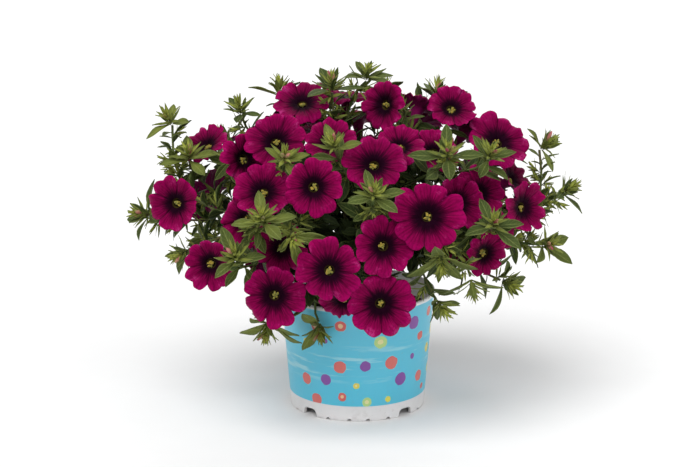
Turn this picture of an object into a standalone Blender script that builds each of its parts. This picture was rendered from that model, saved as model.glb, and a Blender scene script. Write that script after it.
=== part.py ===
"""Calibrachoa in a nursery pot: a white moulded pot with a printed blue wall, potting soil, twelve
leafy stems that stand in plain holes in the soil, and the purple blooms that they carry.

Sizes are in millimetres until a mesh is finished, and each finished mesh is scaled to metres.
The pot stands on z = 0 with its axis on Z, and the front view looks along +Y, a little downwards.
"""

import itertools
import math
import random

import bmesh
import bpy
from mathutils import Matrix, Vector
from mathutils.bvhtree import BVHTree

METRES_PER_MM = 0.001
GAP = 0.4  # clear space that pieces which touch keep between their meshes

# Pot
RIM_RADIUS = 52.5
FOOT_RADIUS = 45.3
POT_HEIGHT = 80.0
WALL = 1.2
RIM_BEAD = 0.6
RIM_BEAD_HEIGHT = 3.2
FLOOR_LIFT = 6.0
PAD_RADIUS = 18.0  # the middle of the floor, which reaches down to the level of the foot
FOOT_WIDTH = 2.4
DRAFT = 0.6  # how far the sides of the foot and the pad lean
POT_SIDES = 32
ARCH_WIDTH = 15.0
ARCH_TOP = 0.66  # share of its width that an arch keeps at its top
ARCH_HEIGHT = 5.4
NICK_WIDTH = 2.2
NICK_HEIGHT = 1.6
NICK_ANGLES = (-26, -7, 9, 27)  # degrees from the middle of each quarter of the foot
DRAIN_RADIUS = 4.0
DRAIN_RING = 31.0
DRAIN_COUNT = 4
DRAIN_SIDES = 8
CUTTER_SPARE = 6.0

# Soil
SOIL_TOP = 66.0
SOIL_CROWN = 2.0
SOIL_SIDES = 16
STEM_HOLE_DEPTH = 9.0
STEM_HOLE_SIDES = 6

# Front view, and the dome that the middles of the blooms lie on
VIEW_TILT = math.radians(15)
VIEW_DISTANCE = 2000.0
DOME_HEIGHT = 125.0
DOME_WIDE = 122.0
DOME_DEEP = 112.0
DOME_RISE = 85.0
DOME_DROP = 58.0
NEAREST, FARTHEST = 170, -80  # where a line of sight is searched for the dome

# Bloom
LOBES = 5
TUBE_LENGTH = 16.0
TUBE_FOOT = 1.6
THROAT = 3.8
THROAT_DIP = 1.2
COLLAR = 5.0
COLLAR_DROP = 2.0
PETAL = 0.8
LIMB_RISE = 2.4
BLOOM_STEP = 2.0  # how far a bloom draws back at a time when it meets another
BLOOM_STEPS = 30
LOBE_WAVE = 1.3
# Round the rim of each lobe: degrees from its middle, share of the radius, and lift. The first
# is the notch before it. Blooms at the back of the plant leave out the dent in the middle.
RIM = ((-36, 0.80, 0.9), (-19, 1.0, -0.5), (0, 0.94, 0.3), (19, 1.0, -0.5))
PLAIN_RIM = ((-36, 0.80, 0.9), (-17, 1.0, -0.5), (17, 1.0, -0.5))
EYE_RADIUS = 1.6
EYE_FOOT = -8.0
EYE_TOP = -3.0

# Stems
TOP_STEMS = 3
SIDE_STEMS = 9
STEM_RADIUS = 1.5
STEM_END_RADIUS = 1.1
STEM_SIDES = 4
STEM_STEPS = 5
TOP_STEM_RING = 5.0
TOP_STEM_TURN = 30
TOP_STEM_TILT = 58
TOP_STEM_REACH = 0.52  # share of the way out to the dome
SIDE_STEM_RING = 14.0
SIDE_STEM_TILT = 6
SIDE_STEM_REACH = 0.62
STEM_RISE = 0.75  # share of its height that a stem rises straight up out of the soil
STEM_BEND = 0.3  # how long its bend at the top is, as a share of its length
STEM_SWINGS = (0, 5, -5, 10, -10, 15, -15)  # degrees tried until a stem crosses nothing
BRANCH_FOOT_RADIUS = 0.55
BRANCH_RADIUS = 0.85
BRANCH_SIDES = 3
BRANCH_STEPS = 3
# What is tried for a branch until it crosses nothing: the stems it can leave, nearest first, how
# far it bows to a side, the share of the stem's length where it leaves, and how round its ends are
STEM_CHOICES = 4
SIDEWAYS = (0, 0.15, -0.15, 0.3, -0.3, 0.5, -0.5)
LEAVING_SHARES = (0.75, 0.62, 0.88, 0.5, 0.97, 0.38)
BENDS = (0.34, 0.2, 0.46)
CALYX_FLOOR = 2.6
CALYX_TIPS = 5.0
CALYX_WALL = 0.8
CALYX_DEPTH = 4.0
SEPAL_RISE = 8.5

# Leaves
BLADE = 0.8
LONE_LEAF = 17.0
HUB_RADIUS = 1.5
HUB_HALF = 0.5
HUB_NECK = 2.0
BROAD_ROWS = ((0.36, 0.37), (0.72, 0.5), (1.0, 0.0))  # shares of its length and of its width
SLIM_ROWS = ((0.6, 0.5), (1.0, 0.0))
BROAD_LENGTH = 22.0  # shorter leaves have slim rows too
NODE_LENGTH = 1.0
BLADE_FACE = 1  # marks the faces of leaf blades while a mesh is being made
BROAD_WIDTH = 0.42  # share of its length
SLIM_WIDTH = 0.34
# The least and the most of what is drawn at random for each leaf: its length, as a share of the
# longest, the angle between it and its stalk in degrees, and how far its tip droops
BROAD_LENGTHS = (0.85, 1.1)
BROAD_SPREADS = (58, 82)
BROAD_DROOPS = (0.05, 0.2)
SLIM_LENGTHS = (0.5, 0.7)
SLIM_SPREADS = (22, 42)
LONE_LEAF_LENGTHS = (0.8, 1.15)
LONE_LEAF_SPREADS = (45, 75)
LONE_LEAF_DROOP = 0.15
LONE_LEAF_SHARES = (0.45, 0.8)  # share of the stalk's length where it grows

# The blooms that show in the front view, nearest first: millimetres across and up from the foot
# of the pot, millimetres sunk below the dome, the way the bloom faces in degrees to the viewer's
# right and upwards, its width, and its roll.
FRONT_BLOOMS = (
    (46, 133, -4, 4, 14, 48, 10),
    (15, 77, -4, 5, 2, 45, 20),
    (-56, 82, -4, -8, 8, 43, 0),
    (-20, 97, 1, -4, 12, 43, 30),
    (-30, 153, -2, 0, 17, 40, 5),
    (18, 114, 5, 4, 14, 39, 40),
    (11, 169, 0, 0, 40, 41, 15),
    (-65, 150, 0, -6, 42, 42, 25),
    (-57, 184, 2, -4, 38, 42, 35),
    (-78, 171, 0, 30, 14, 35, 10),
    (-101, 99, 0, -14, 6, 35, 12),
    (-119, 137, -6, -22, 10, 38, 50),
    (-105, 178, 2, -50, 48, 36, 20),
    (-38, 206, 0, -6, 60, 39, 5),
    (18, 206, 0, -42, 16, 36, 30),
    (65, 204, 2, 10, 48, 36, 18),
    (96, 179, 0, 20, 46, 44, 40),
    (-20, 189, 8, 4, 44, 36, 0),
    (31, 187, 8, 14, 58, 34, 60),
    (56, 184, 10, 12, 42, 34, 22),
    (43, 207, 4, 150, 52, 32, 0),
    (115, 137, 2, 44, 10, 36, 33),
    (90, 106, 4, 30, -2, 32, 8),
    (103, 119, 10, 52, 2, 34, 55),
    (-89, 133, 16, -26, 8, 38, 15),
    (-61, 110, 18, -8, 10, 36, 45),
    (76, 148, 14, 14, 20, 38, 25),
    (92, 154, 12, 26, 28, 36, 5),
    (112, 158, 6, 66, 34, 34, 62),
    (-11, 68, 6, -12, -34, 30, 12),
    (73, 109, 2, -10, -8, 20, 0),
)
# Rows of blooms round the back: height of the row in degrees up the dome, first and last turn
# from the front in degrees, number, and width.
BACK_BLOOM_ROWS = (
    (62, 130, 250, 3, 40),
    (32, 108, 252, 5, 43),
    (4, 112, 262, 4, 44),
    (-22, 108, 252, 3, 42),
)
# The leafy shoots that show in the front view: across, up, sunk, turn, tilt, length of the
# largest leaf, number of leaves.
FRONT_SHOOTS = (
    (-122, 186, -8, -40, 56, 17, 6),
    (-17, 209, -6, -8, 78, 24, 6),
    (6, 216, -6, 14, 72, 18, 7),
    (-78, 195, -4, -24, 66, 16, 5),
    (-109, 163, -8, -8, 58, 20, 7),
    (-49, 167, -5, 10, 52, 15, 5),
    (-15, 174, -7, -16, 52, 19, 6),
    (-61, 129, -9, -8, 52, 22, 7),
    (-141, 129, -2, -66, 18, 21, 7),
    (-118, 105, 2, -58, -14, 22, 6),
    (-80, 104, -5, -10, 46, 22, 6),
    (-61, 58, -1, -18, -52, 25, 7),
    (-26, 58, -2, 4, -46, 22, 6),
    (10, 144, -9, 4, 46, 21, 7),
    (-46, 121, -1, 12, -8, 22, 5),
    (58, 168, -8, 2, 52, 25, 8),
    (86, 167, -6, 12, 52, 19, 6),
    (121, 171, -6, 60, 44, 19, 6),
    (134, 143, -6, 72, 34, 19, 8),
    (87, 125, -7, 10, 50, 22, 7),
    (121, 112, -6, 48, 14, 21, 7),
    (54, 108, -7, 2, -50, 24, 7),
    (98, 88, -2, 56, -12, 22, 6),
    (75, 92, -4, 30, -70, 24, 3),
    (54, 76, -2, 36, -32, 16, 5),
)
# How far a bloom there is sunk, how wide it is for its row, and how it strays and lifts
BACK_BLOOM_SUNK = (-2, 6)
BACK_BLOOM_WIDTHS = (0.88, 1.05)
BACK_BLOOM_STRAY = 0.25
BACK_BLOOM_LIFT = 0.2
# Rows of shoots round the back: height of the row, first and last turn, number, leaf length.
BACK_SHOOT_ROWS = (
    (48, 112, 248, 4, 20),
    (18, 100, 250, 4, 21),
    (-10, 96, 264, 4, 20),
)
BACK_SHOOT_LEAVES = 6
BACK_SHOOT_OUT = (4, 9)
BACK_SHOOT_STRAY = 0.2
BACK_SHOOT_LIFT = 0.3

# Colour and roughness
WHITE_PLASTIC = ((0.86, 0.86, 0.87), 0.35)
SOIL_BROWN = ((0.055, 0.035, 0.022), 0.95)
LEAF_GREEN = ((0.10, 0.17, 0.035), 0.55)
PETAL_PURPLE = ((0.42, 0.004, 0.13), 0.5)


def clear_the_scene():
    for old in list(bpy.data.objects):
        bpy.data.objects.remove(old)


def material(name, finish):
    """A plain material of this colour and roughness."""
    colour, roughness = finish
    made = bpy.data.materials.new(name)
    made.use_nodes = True
    shader = made.node_tree.nodes["Principled BSDF"]
    shader.inputs["Base Color"].default_value = (*colour, 1)
    shader.inputs["Roughness"].default_value = roughness
    shader.inputs["Metallic"].default_value = 0
    made.diffuse_color = (*colour, 1)
    return made


def piece(name, bm, finish=None):
    """The object that a bmesh in millimetres makes, in metres, shaded smooth but for its edges."""
    bm.transform(Matrix.Scale(METRES_PER_MM, 4))
    for face in bm.faces:
        face.material_index = 0
    mesh = bpy.data.meshes.new(name)
    bm.to_mesh(mesh)
    bm.free()
    made = bpy.data.objects.new(name, mesh)
    bpy.context.scene.collection.objects.link(made)
    if finish:
        mesh.materials.append(finish)
        mesh.shade_smooth()
        mesh.set_sharp_from_angle(angle=math.radians(35))
    return made


def aim(turn, tilt):
    """The way that faces this many degrees to the viewer's right of the front, and upwards."""
    turn, tilt = math.radians(turn), math.radians(tilt)
    return Vector((math.sin(turn) * math.cos(tilt), -math.cos(turn) * math.cos(tilt), math.sin(tilt)))


def seen_at(across, up, forward):
    """The point that shows this far across and up in the front view, and stands this far forward."""
    nearer = 1 - forward / VIEW_DISTANCE
    toward = Vector((0, -math.cos(VIEW_TILT), math.sin(VIEW_TILT)))
    upward = Vector((0, math.sin(VIEW_TILT), math.cos(VIEW_TILT)))
    return Vector((across * nearer, 0, 0)) + upward * up * nearer + toward * forward


def dome_axes(point):
    return Vector((DOME_WIDE, DOME_DEEP, DOME_RISE if point.z > DOME_HEIGHT else DOME_DROP))


def dome_offset(point):
    """The point from the middle of the dome, with the dome made a ball of radius 1."""
    axes = dome_axes(point)
    away = point - Vector((0, 0, DOME_HEIGHT))
    return Vector((away.x / axes.x, away.y / axes.y, away.z / axes.z))


def dome_normal(point):
    axes = dome_axes(point)
    away = dome_offset(point)
    return Vector((away.x / axes.x, away.y / axes.y, away.z / axes.z)).normalized()


def dome_point(way):
    """Where the dome lies in this direction from its middle."""
    axes = Vector((DOME_WIDE, DOME_DEEP, DOME_RISE if way.z > 0 else DOME_DROP))
    reach = 1 / Vector((way.x / axes.x, way.y / axes.y, way.z / axes.z)).length
    return Vector((0, 0, DOME_HEIGHT)) + way * reach


def on_dome(across, up):
    """The nearest point of the dome that shows there, or else the one that passes closest to it."""
    nearest, least = None, math.inf
    for forward in range(NEAREST, FARTHEST, -1):
        point = seen_at(across, up, forward)
        level = dome_offset(point).length
        if level <= 1:
            return point
        if level < least:
            nearest, least = point, level
    return nearest


def facing(point, way, roll=0.0):
    """The placement with its own +Z along way, turned about it by roll degrees."""
    turned = way.to_track_quat("Z", "Y").to_matrix().to_4x4()
    return Matrix.Translation(point) @ turned @ Matrix.Rotation(math.radians(roll), 4, "Z")


def round_row(height, first, last, number):
    """Places on the dome, in a row at one height, each with the way out from the dome there."""
    for k in range(number):
        turn = first + (last - first) * (k + 0.5) / number
        point = dome_point(aim(turn, height))
        yield point, dome_normal(point)


def leaning(way, spread, upwards, draw):
    """The way, turned a little at random and a little upwards."""
    stray = Vector([draw.uniform(-spread, spread) for _ in range(3)])
    return (way + stray + Vector((0, 0, upwards))).normalized()


def bloom_places():
    """Each bloom's placement, width and rim, and the way it draws back if it meets another."""
    backwards = seen_at(0, 0, -1)
    for across, up, sunk, turn, tilt, width, roll in FRONT_BLOOMS:
        point = on_dome(across, up)
        point -= dome_normal(point) * sunk
        yield facing(point, aim(turn, tilt), roll), width, RIM, backwards
    draw = random.Random("back blooms")
    for height, first, last, number, width in BACK_BLOOM_ROWS:
        for point, outward in round_row(height, first, last, number):
            point -= outward * draw.uniform(*BACK_BLOOM_SUNK)
            way = leaning(outward, BACK_BLOOM_STRAY, BACK_BLOOM_LIFT, draw)
            place = facing(point, way, draw.uniform(0, 72))
            yield place, width * draw.uniform(*BACK_BLOOM_WIDTHS), PLAIN_RIM, -outward


def shoot_places():
    """Each leafy shoot's tip, the way it points, its largest leaf, its number of leaves, and the
    rows of the broad ones."""
    for across, up, sunk, turn, tilt, length, leaves in FRONT_SHOOTS:
        point = on_dome(across, up)
        rows = BROAD_ROWS if length >= BROAD_LENGTH else SLIM_ROWS
        yield point - dome_normal(point) * sunk, aim(turn, tilt), length, leaves, rows
    draw = random.Random("back shoots")
    for height, first, last, number, length in BACK_SHOOT_ROWS:
        for point, outward in round_row(height, first, last, number):
            way = leaning(outward, BACK_SHOOT_STRAY, BACK_SHOOT_LIFT, draw)
            tip = point + outward * draw.uniform(*BACK_SHOOT_OUT)
            yield tip, way, length, BACK_SHOOT_LEAVES, SLIM_ROWS


def ring(bm, radius, height, angles, shares=None, lifts=None):
    """Vertices round +Z at these angles, at shares of the radius and lifted."""
    made = []
    for k, angle in enumerate(angles):
        reach = radius * (shares[k] if shares else 1)
        turn = math.radians(angle)
        lift = lifts[k] if lifts else 0
        made.append(bm.verts.new((reach * math.cos(turn), reach * math.sin(turn), height + lift)))
    return made


def bridge(bm, lower, upper):
    """Two faces for each step between rings of one size."""
    for k, here in enumerate(lower):
        after = (k + 1) % len(lower)
        bm.faces.new((here, lower[after], upper[after]))
        bm.faces.new((here, upper[after], upper[k]))


def fan(bm, middle, outer):
    """Faces from each vertex of the small ring to its share of the large one."""
    share = len(outer) // len(middle)
    for k, here in enumerate(middle):
        for step in range(share):
            first = k * share + step
            bm.faces.new((here, outer[first], outer[(first + 1) % len(outer)]))
        after = middle[(k + 1) % len(middle)]
        bm.faces.new((here, outer[(k + 1) * share % len(outer)], after))


def cone(bm, around, tip):
    """Faces from each edge of a ring to the tip."""
    for k, here in enumerate(around):
        bm.faces.new((here, around[(k + 1) % len(around)], tip))


def bloom_solid(width, rim, seed, spare=0.0):
    """One bloom facing +Z: five notched lobes, a throat with its eye, and a tube that narrows down
    to its foot. Spare thickens it all round, to keep its neighbours off."""
    draw = random.Random(seed)
    waves = [draw.uniform(-LOBE_WAVE, LOBE_WAVE) for _ in range(LOBES)]
    bm = bmesh.new()
    middles = [72 * lobe for lobe in range(LOBES)]
    angles = [middle + angle for middle in middles for angle, _, _ in rim]
    shares = [share for _ in range(LOBES) for _, share, _ in rim]
    lifts = [
        lift + waves[lobe] * (angle > rim[0][0]) for lobe in range(LOBES) for angle, _, lift in rim
    ]
    half = PETAL / 2 + spare
    radius = width / 2 + spare
    top = ring(bm, radius, LIMB_RISE + half, angles, shares, lifts)
    under = ring(bm, radius, LIMB_RISE - half, angles, shares, lifts)
    throat = ring(bm, THROAT, half - THROAT_DIP, middles)
    collar = ring(bm, COLLAR + spare, -COLLAR_DROP - half, middles)
    pit = ring(bm, EYE_RADIUS, EYE_FOOT, middles)
    foot = ring(bm, TUBE_FOOT + spare, -TUBE_LENGTH - spare, middles)
    fan(bm, throat, top)
    fan(bm, collar, under)
    bridge(bm, under, top)
    bridge(bm, throat, pit)
    cone(bm, pit, bm.verts.new((0, 0, EYE_TOP)))
    bridge(bm, collar, foot)
    bm.faces.new(foot)
    return finished(bm)


def finished(bm):
    """The mesh with its normals outward and all its faces triangles."""
    bmesh.ops.recalc_face_normals(bm, faces=bm.faces)
    bmesh.ops.triangulate(bm, faces=bm.faces)
    return bm


def crosses_itself(bm):
    """Whether two faces cross that share no corner."""
    bm.faces.ensure_lookup_table()
    tree = BVHTree.FromBMesh(bm)
    for one, other in tree.overlap(tree):
        if one < other and not set(bm.faces[one].verts) & set(bm.faces[other].verts):
            return True
    return False


class Obstacles:
    """What has been placed so far, each piece under its names, to keep the next one clear of it."""

    def __init__(self):
        self.placed = []

    def add(self, names, bm):
        points, tree = self.shape(bm.faces)
        self.placed.append((names, tree, *self.ball(points)))

    def shape(self, faces):
        points = []
        polygons = []
        for face in faces:
            polygons.append(range(len(points), len(points) + len(face.verts)))
            points.extend(vertex.co.copy() for vertex in face.verts)
        return points, BVHTree.FromPolygons(points, polygons)

    def ball(self, points):
        middle = sum(points, Vector()) / len(points)
        return middle, max((point - middle).length for point in points)

    def clear(self, bm, own, blades_only=False):
        """Whether the mesh, or only its blades, crosses nothing but what bears one of its own names."""
        faces = [face for face in bm.faces if face.material_index == BLADE_FACE or not blades_only]
        if not faces:
            return True
        points, tree = self.shape(faces)
        middle, reach = self.ball(points)
        for names, other, centre, radius in self.placed:
            if own & names or (centre - middle).length > radius + reach:
                continue
            if tree.overlap(other):
                return False
        return True


def pot_profile():
    """The wall, rim, floor and foot from the pot's axis round to it again: radius and height."""
    slope = (RIM_RADIUS - RIM_BEAD - FOOT_RADIUS) / POT_HEIGHT
    floor_top = FLOOR_LIFT + WALL
    foot_inner = FOOT_RADIUS - FOOT_WIDTH
    return (
        (0, 0),
        (PAD_RADIUS - DRAFT, 0),
        (PAD_RADIUS + DRAFT, FLOOR_LIFT),
        (foot_inner + DRAFT, FLOOR_LIFT),
        (foot_inner, 0),
        (FOOT_RADIUS, 0),
        (FOOT_RADIUS + slope * (POT_HEIGHT - RIM_BEAD_HEIGHT), POT_HEIGHT - RIM_BEAD_HEIGHT),
        (RIM_RADIUS, POT_HEIGHT - RIM_BEAD_HEIGHT + RIM_BEAD),
        (RIM_RADIUS, POT_HEIGHT - RIM_BEAD),
        (RIM_RADIUS - RIM_BEAD, POT_HEIGHT),
        (pot_inside(POT_HEIGHT), POT_HEIGHT),
        (pot_inside(floor_top), floor_top),
        (PAD_RADIUS + DRAFT, floor_top),
        (PAD_RADIUS - DRAFT, WALL),
        (0, WALL),
    )


def pot_inside(height):
    """The inner radius of the pot's wall at this height."""
    slope = (RIM_RADIUS - RIM_BEAD - FOOT_RADIUS) / POT_HEIGHT
    return FOOT_RADIUS + slope * height - WALL


def turned(profile, sides):
    """The profile spun once round Z."""
    bm = bmesh.new()
    points = [bm.verts.new((radius, 0, height)) for radius, height in profile]
    edges = [bm.edges.new(pair) for pair in zip(points, points[1:])]
    bmesh.ops.spin(
        bm,
        geom=points + edges,
        cent=(0, 0, 0),
        axis=(0, 0, 1),
        angle=math.tau,
        steps=sides,
        use_merge=True,
    )
    bmesh.ops.remove_doubles(bm, verts=bm.verts, dist=0.01)
    bmesh.ops.recalc_face_normals(bm, faces=bm.faces)
    return bm


def block(bm, size, place):
    """Adds a box round the origin, moved to its place."""
    made = bmesh.ops.create_cube(bm, size=1)["verts"]
    bmesh.ops.scale(bm, vec=size, verts=made)
    bmesh.ops.transform(bm, matrix=place, verts=made)


def peg(bm, radius, depth, sides, middle):
    """Adds an upright peg round this middle."""
    made = bmesh.ops.create_cone(
        bm, cap_ends=True, segments=sides, radius1=radius, radius2=radius, depth=depth
    )["verts"]
    bmesh.ops.translate(bm, vec=middle, verts=made)


def cut(target, name, cutters):
    """Takes each cutter out of the target, through one helper collection that doesn't render."""
    helpers = bpy.data.collections.new(name)
    bpy.context.scene.collection.children.link(helpers)
    helpers.hide_render = True
    for number, bm in enumerate(cutters):
        helper = piece(f"{name}_{number}", bm)
        bpy.context.scene.collection.objects.unlink(helper)
        helpers.objects.link(helper)
        helper.hide_render = True
        helper.display_type = "WIRE"
    modifier = target.modifiers.new(name, "BOOLEAN")
    modifier.operation = "DIFFERENCE"
    modifier.operand_type = "COLLECTION"
    modifier.collection = helpers
    modifier.solver = "EXACT"


def quarter_turn(angle):
    return Matrix.Rotation(math.radians(angle), 4, "Z")


def foot_cutters():
    """An arch between each two quarters of the foot, small nicks under each, and drain holes."""
    middle = Matrix.Translation((FOOT_RADIUS - FOOT_WIDTH / 2, 0, 0))
    deep = FOOT_WIDTH + CUTTER_SPARE
    for quarter in range(4):
        bm = bmesh.new()
        block(bm, (deep, ARCH_WIDTH, ARCH_HEIGHT * 2), middle)
        top = [vertex for vertex in bm.verts if vertex.co.z > 0]
        bmesh.ops.scale(bm, vec=(1, ARCH_TOP, 1), verts=top)
        bm.transform(quarter_turn(45 + 90 * quarter))
        yield bm
        for angle in NICK_ANGLES:
            bm = bmesh.new()
            block(bm, (deep, NICK_WIDTH, NICK_HEIGHT * 2), middle)
            bm.transform(quarter_turn(90 * quarter + angle))
            yield bm
    for hole in range(DRAIN_COUNT):
        bm = bmesh.new()
        peg(bm, DRAIN_RADIUS, FLOOR_LIFT, DRAIN_SIDES, Vector((DRAIN_RING, 0, FLOOR_LIFT)))
        bm.transform(quarter_turn(360 * hole / DRAIN_COUNT))
        yield bm


def stem_turn(number):
    """The way a stem leans, in degrees from the front: the top stems first, then the side stems."""
    if number < TOP_STEMS:
        return 360 * number / TOP_STEMS + TOP_STEM_TURN
    return 360 * (number - TOP_STEMS) / SIDE_STEMS


def stem_foot(number):
    """Where a stem leaves the soil."""
    out = TOP_STEM_RING if number < TOP_STEMS else SIDE_STEM_RING
    return aim(stem_turn(number), 0) * out + Vector((0, 0, SOIL_TOP + SOIL_CROWN))


def soil_profile():
    """The soil from the pot's floor to its crown: radius and height."""
    floor = FLOOR_LIFT + WALL + GAP
    return (
        (0, floor),
        (pot_inside(floor) - GAP, floor),
        (pot_inside(SOIL_TOP) - GAP, SOIL_TOP),
        (0, SOIL_TOP + SOIL_CROWN),
    )


def soil_cutters():
    """One upright hole for each stem."""
    for number in range(TOP_STEMS + SIDE_STEMS):
        bm = bmesh.new()
        depth = 2 * (STEM_HOLE_DEPTH + GAP)
        peg(bm, STEM_RADIUS + GAP, depth, STEM_HOLE_SIDES, stem_foot(number))
        yield bm


def curve(start, leave, arrive, end, steps):
    """Points of the cubic curve that leaves start towards leave and reaches end from arrive."""
    points = []
    for k in range(steps + 1):
        t = k / steps
        s = 1 - t
        points.append(
            start * s**3 + leave * 3 * s * s * t + arrive * 3 * s * t * t + end * t**3
        )
    return points


def open_stalk(points, first, last, sides, leaves=(), spare=0.0):
    """A tapering stalk along the points, open at its end, and the ring of its end. Each leaf grows
    out of one side of it, between two rings close together: its share of the way, its side and
    its blade."""
    bm = bmesh.new()
    length = line_length(points)
    stops = [(line_length(points[: k + 1]), None) for k in range(len(points))]
    for share, side, blade in filter(None, leaves):
        stops.append((length * share, None))
        stops.append((length * share + NODE_LENGTH, (side, blade)))
    stops.sort(key=lambda stop: stop[0])
    lower = None
    side = Vector((1, 0.2, 0.1))
    turns = [math.tau * step / sides for step in range(sides)]
    for distance, grown in stops:
        point, along = along_line(points, distance)
        side = (side - along * side.dot(along)).normalized()
        across = along.cross(side)
        radius = first + (last - first) * distance / length + spare
        spokes = [side * math.cos(turn) + across * math.sin(turn) for turn in turns]
        upper = [bm.verts.new(point + spoke * radius) for spoke in spokes]
        if not lower:
            bm.faces.new(upper)
        for k in range(sides if lower else 0):
            after = (k + 1) % sides
            if grown and grown[0] % sides == k:
                edges = [upper[k], upper[after]], [lower[k], lower[after]]
                grow_blade(bm, *edges, point, along, grown[1], spare)
            else:
                bm.faces.new((lower[k], lower[after], upper[after], upper[k]))
        lower = upper
    return bm, lower


def zip_rings(bm, lower, upper):
    """Faces between two rings of different sizes that run the same way round one axis."""
    middle = sum((vertex.co for vertex in lower), Vector()) / len(lower)
    ahead = lower[0].co - middle
    across = ahead.cross(lower[1].co - middle).normalized().cross(ahead)

    def turn(vertex):
        away = vertex.co - middle
        return math.atan2(away.dot(across), away.dot(ahead)) / math.tau

    start = min(range(len(upper)), key=lambda k: abs(turn(upper[k])))
    upper = upper[start:] + upper[:start]
    offset = turn(upper[0])
    here, there = 0, 0
    while here < len(lower) or there < len(upper):
        low, high = lower[here % len(lower)], upper[there % len(upper)]
        lower_is_next = (here + 0.5) / len(lower) <= (there + 0.5) / len(upper) + offset
        if there == len(upper) or (here < len(lower) and lower_is_next):
            here += 1
            bm.faces.new((low, lower[here % len(lower)], high))
        else:
            there += 1
            bm.faces.new((low, upper[there % len(upper)], high))


def main_stem(points, spare=0.0):
    """A main stem, closed at its end."""
    bm, end = open_stalk(points, STEM_RADIUS, STEM_END_RADIUS, STEM_SIDES, spare=spare)
    bm.faces.new(end)
    return finished(bm)


def cupped_stalk(points, place, leaves=(), spare=0.0):
    """A flower stalk that widens into the green cup of five sepals round the bloom's tube."""
    bm, end = open_stalk(points, BRANCH_FOOT_RADIUS, BRANCH_RADIUS, BRANCH_SIDES, leaves, spare)
    floor = -TUBE_LENGTH - GAP
    angles = [72 * k for k in range(LOBES)]
    between = [angle + 36 for angle in angles]
    inner = ring(bm, CALYX_FLOOR, floor, angles)
    outer = ring(bm, CALYX_FLOOR + CALYX_WALL + spare, floor - CALYX_WALL - spare, angles)
    tips = ring(bm, CALYX_TIPS + spare, floor + SEPAL_RISE, between)
    bm.faces.new(inner)
    for k, tip in enumerate(tips):
        after = (k + 1) % LOBES
        bm.faces.new((inner[k], inner[after], tip))
        bm.faces.new((outer[after], outer[k], tip))
        bm.faces.new((outer[k], inner[k], tip))
        bm.faces.new((inner[after], outer[after], tip))
    bmesh.ops.transform(bm, matrix=place, verts=inner + outer + tips)
    zip_rings(bm, end, outer)
    return finished(bm)


def grow_blade(bm, upper, under, centre, axis, blade, spare):
    """A leaf blade out of one side of a stalk or hub: upper and under are that side's two edges."""
    length, width, spread, droop, rows = blade
    spread = math.radians(spread)
    base = sum((vertex.co for vertex in upper + under), Vector()) / 4
    outward = base - centre
    outward = (outward - axis * outward.dot(axis)).normalized()
    side = axis.cross(outward)
    out = outward * math.sin(spread) + axis * math.cos(spread)
    normal = out.cross(side)
    lift = normal * (BLADE / 2 + spare)
    for along, half in rows:
        middle = base + out * (length + spare) * along - normal * droop * length * along**2
        reach = side * (width * half + spare) if half else Vector()
        corners = (middle - reach, middle + reach) if half else (middle,)
        next_upper = [bm.verts.new(corner + lift) for corner in corners]
        next_under = [bm.verts.new(corner - lift) for corner in corners]
        for corners in (
            upper + next_upper[::-1],
            under + next_under[::-1],
            (upper[0], under[0], next_under[0], next_upper[0]),
            (upper[-1], under[-1], next_under[-1], next_upper[-1]),
        ):
            bm.faces.new(corners).material_index = BLADE_FACE
        upper, under = next_upper, next_under


def rosette_stalk(points, place, blades, leaves=(), spare=0.0):
    """A shoot: a stalk whose end is a hub with a blade out of each side that has one."""
    bm, end = open_stalk(points, BRANCH_FOOT_RADIUS, BRANCH_RADIUS, BRANCH_SIDES, leaves, spare)
    old = set(bm.verts)
    step = 360 / len(blades)
    corners = [step * (k - 0.5) for k in range(len(blades))]
    upper = ring(bm, HUB_RADIUS + spare, HUB_HALF + spare, corners)
    under = ring(bm, HUB_RADIUS + spare, -HUB_HALF - spare, corners)
    bm.faces.new(upper)
    for k, blade in enumerate(blades):
        after = (k + 1) % len(blades)
        if blade:
            edges = [upper[k], upper[after]], [under[k], under[after]]
            grow_blade(bm, *edges, Vector(), Vector((0, 0, 1)), blade, spare)
        else:
            bm.faces.new((under[k], under[after], upper[after], upper[k]))
    new = [vertex for vertex in bm.verts if vertex not in old]
    bmesh.ops.transform(bm, matrix=place, verts=new)
    zip_rings(bm, end, under)
    return finished(bm)


def stem_line(number, swing):
    """A main stem: straight up out of its hole, over the rim, and out to its part of the dome."""
    on_top = number < TOP_STEMS
    way = aim(stem_turn(number) + swing, TOP_STEM_TILT if on_top else SIDE_STEM_TILT)
    reach = TOP_STEM_REACH if on_top else SIDE_STEM_REACH
    middle = Vector((0, 0, DOME_HEIGHT))
    end = middle + (dome_point(way) - middle) * reach
    foot = stem_foot(number)
    rise = Vector((0, 0, end.z - foot.z)) * STEM_RISE
    below = foot - Vector((0, 0, STEM_HOLE_DEPTH))
    bend = (end - foot).length * STEM_BEND
    return [below] + curve(foot, foot + rise, end - way * bend, end, STEM_STEPS)


def line_length(line):
    return sum((after - here).length for here, after in zip(line, line[1:]))


def along_line(line, distance):
    """The point this far along the line, and the way the line runs there."""
    for here, after in zip(line, line[1:]):
        span = (after - here).length
        if distance <= span or after is line[-1]:
            way = (after - here) / span
            return here + way * min(distance, span), way
        distance -= span


def branch_line(stem, share, end, way, bend, sideways):
    """A branch: out of its stem at this share of its length, and up to the end along way."""
    here, grown = along_line(stem, line_length(stem) * share)
    span = (end - here).length
    side = (end - here).cross(way)
    if side.length > 0:
        side.normalize()
    heading = (grown + (end - here) / span).normalized()
    leave = here + heading * span * bend + side * span * sideways
    arrive = end - way * span * bend + side * span * sideways
    return curve(here, leave, arrive, end, BRANCH_STEPS)


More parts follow.
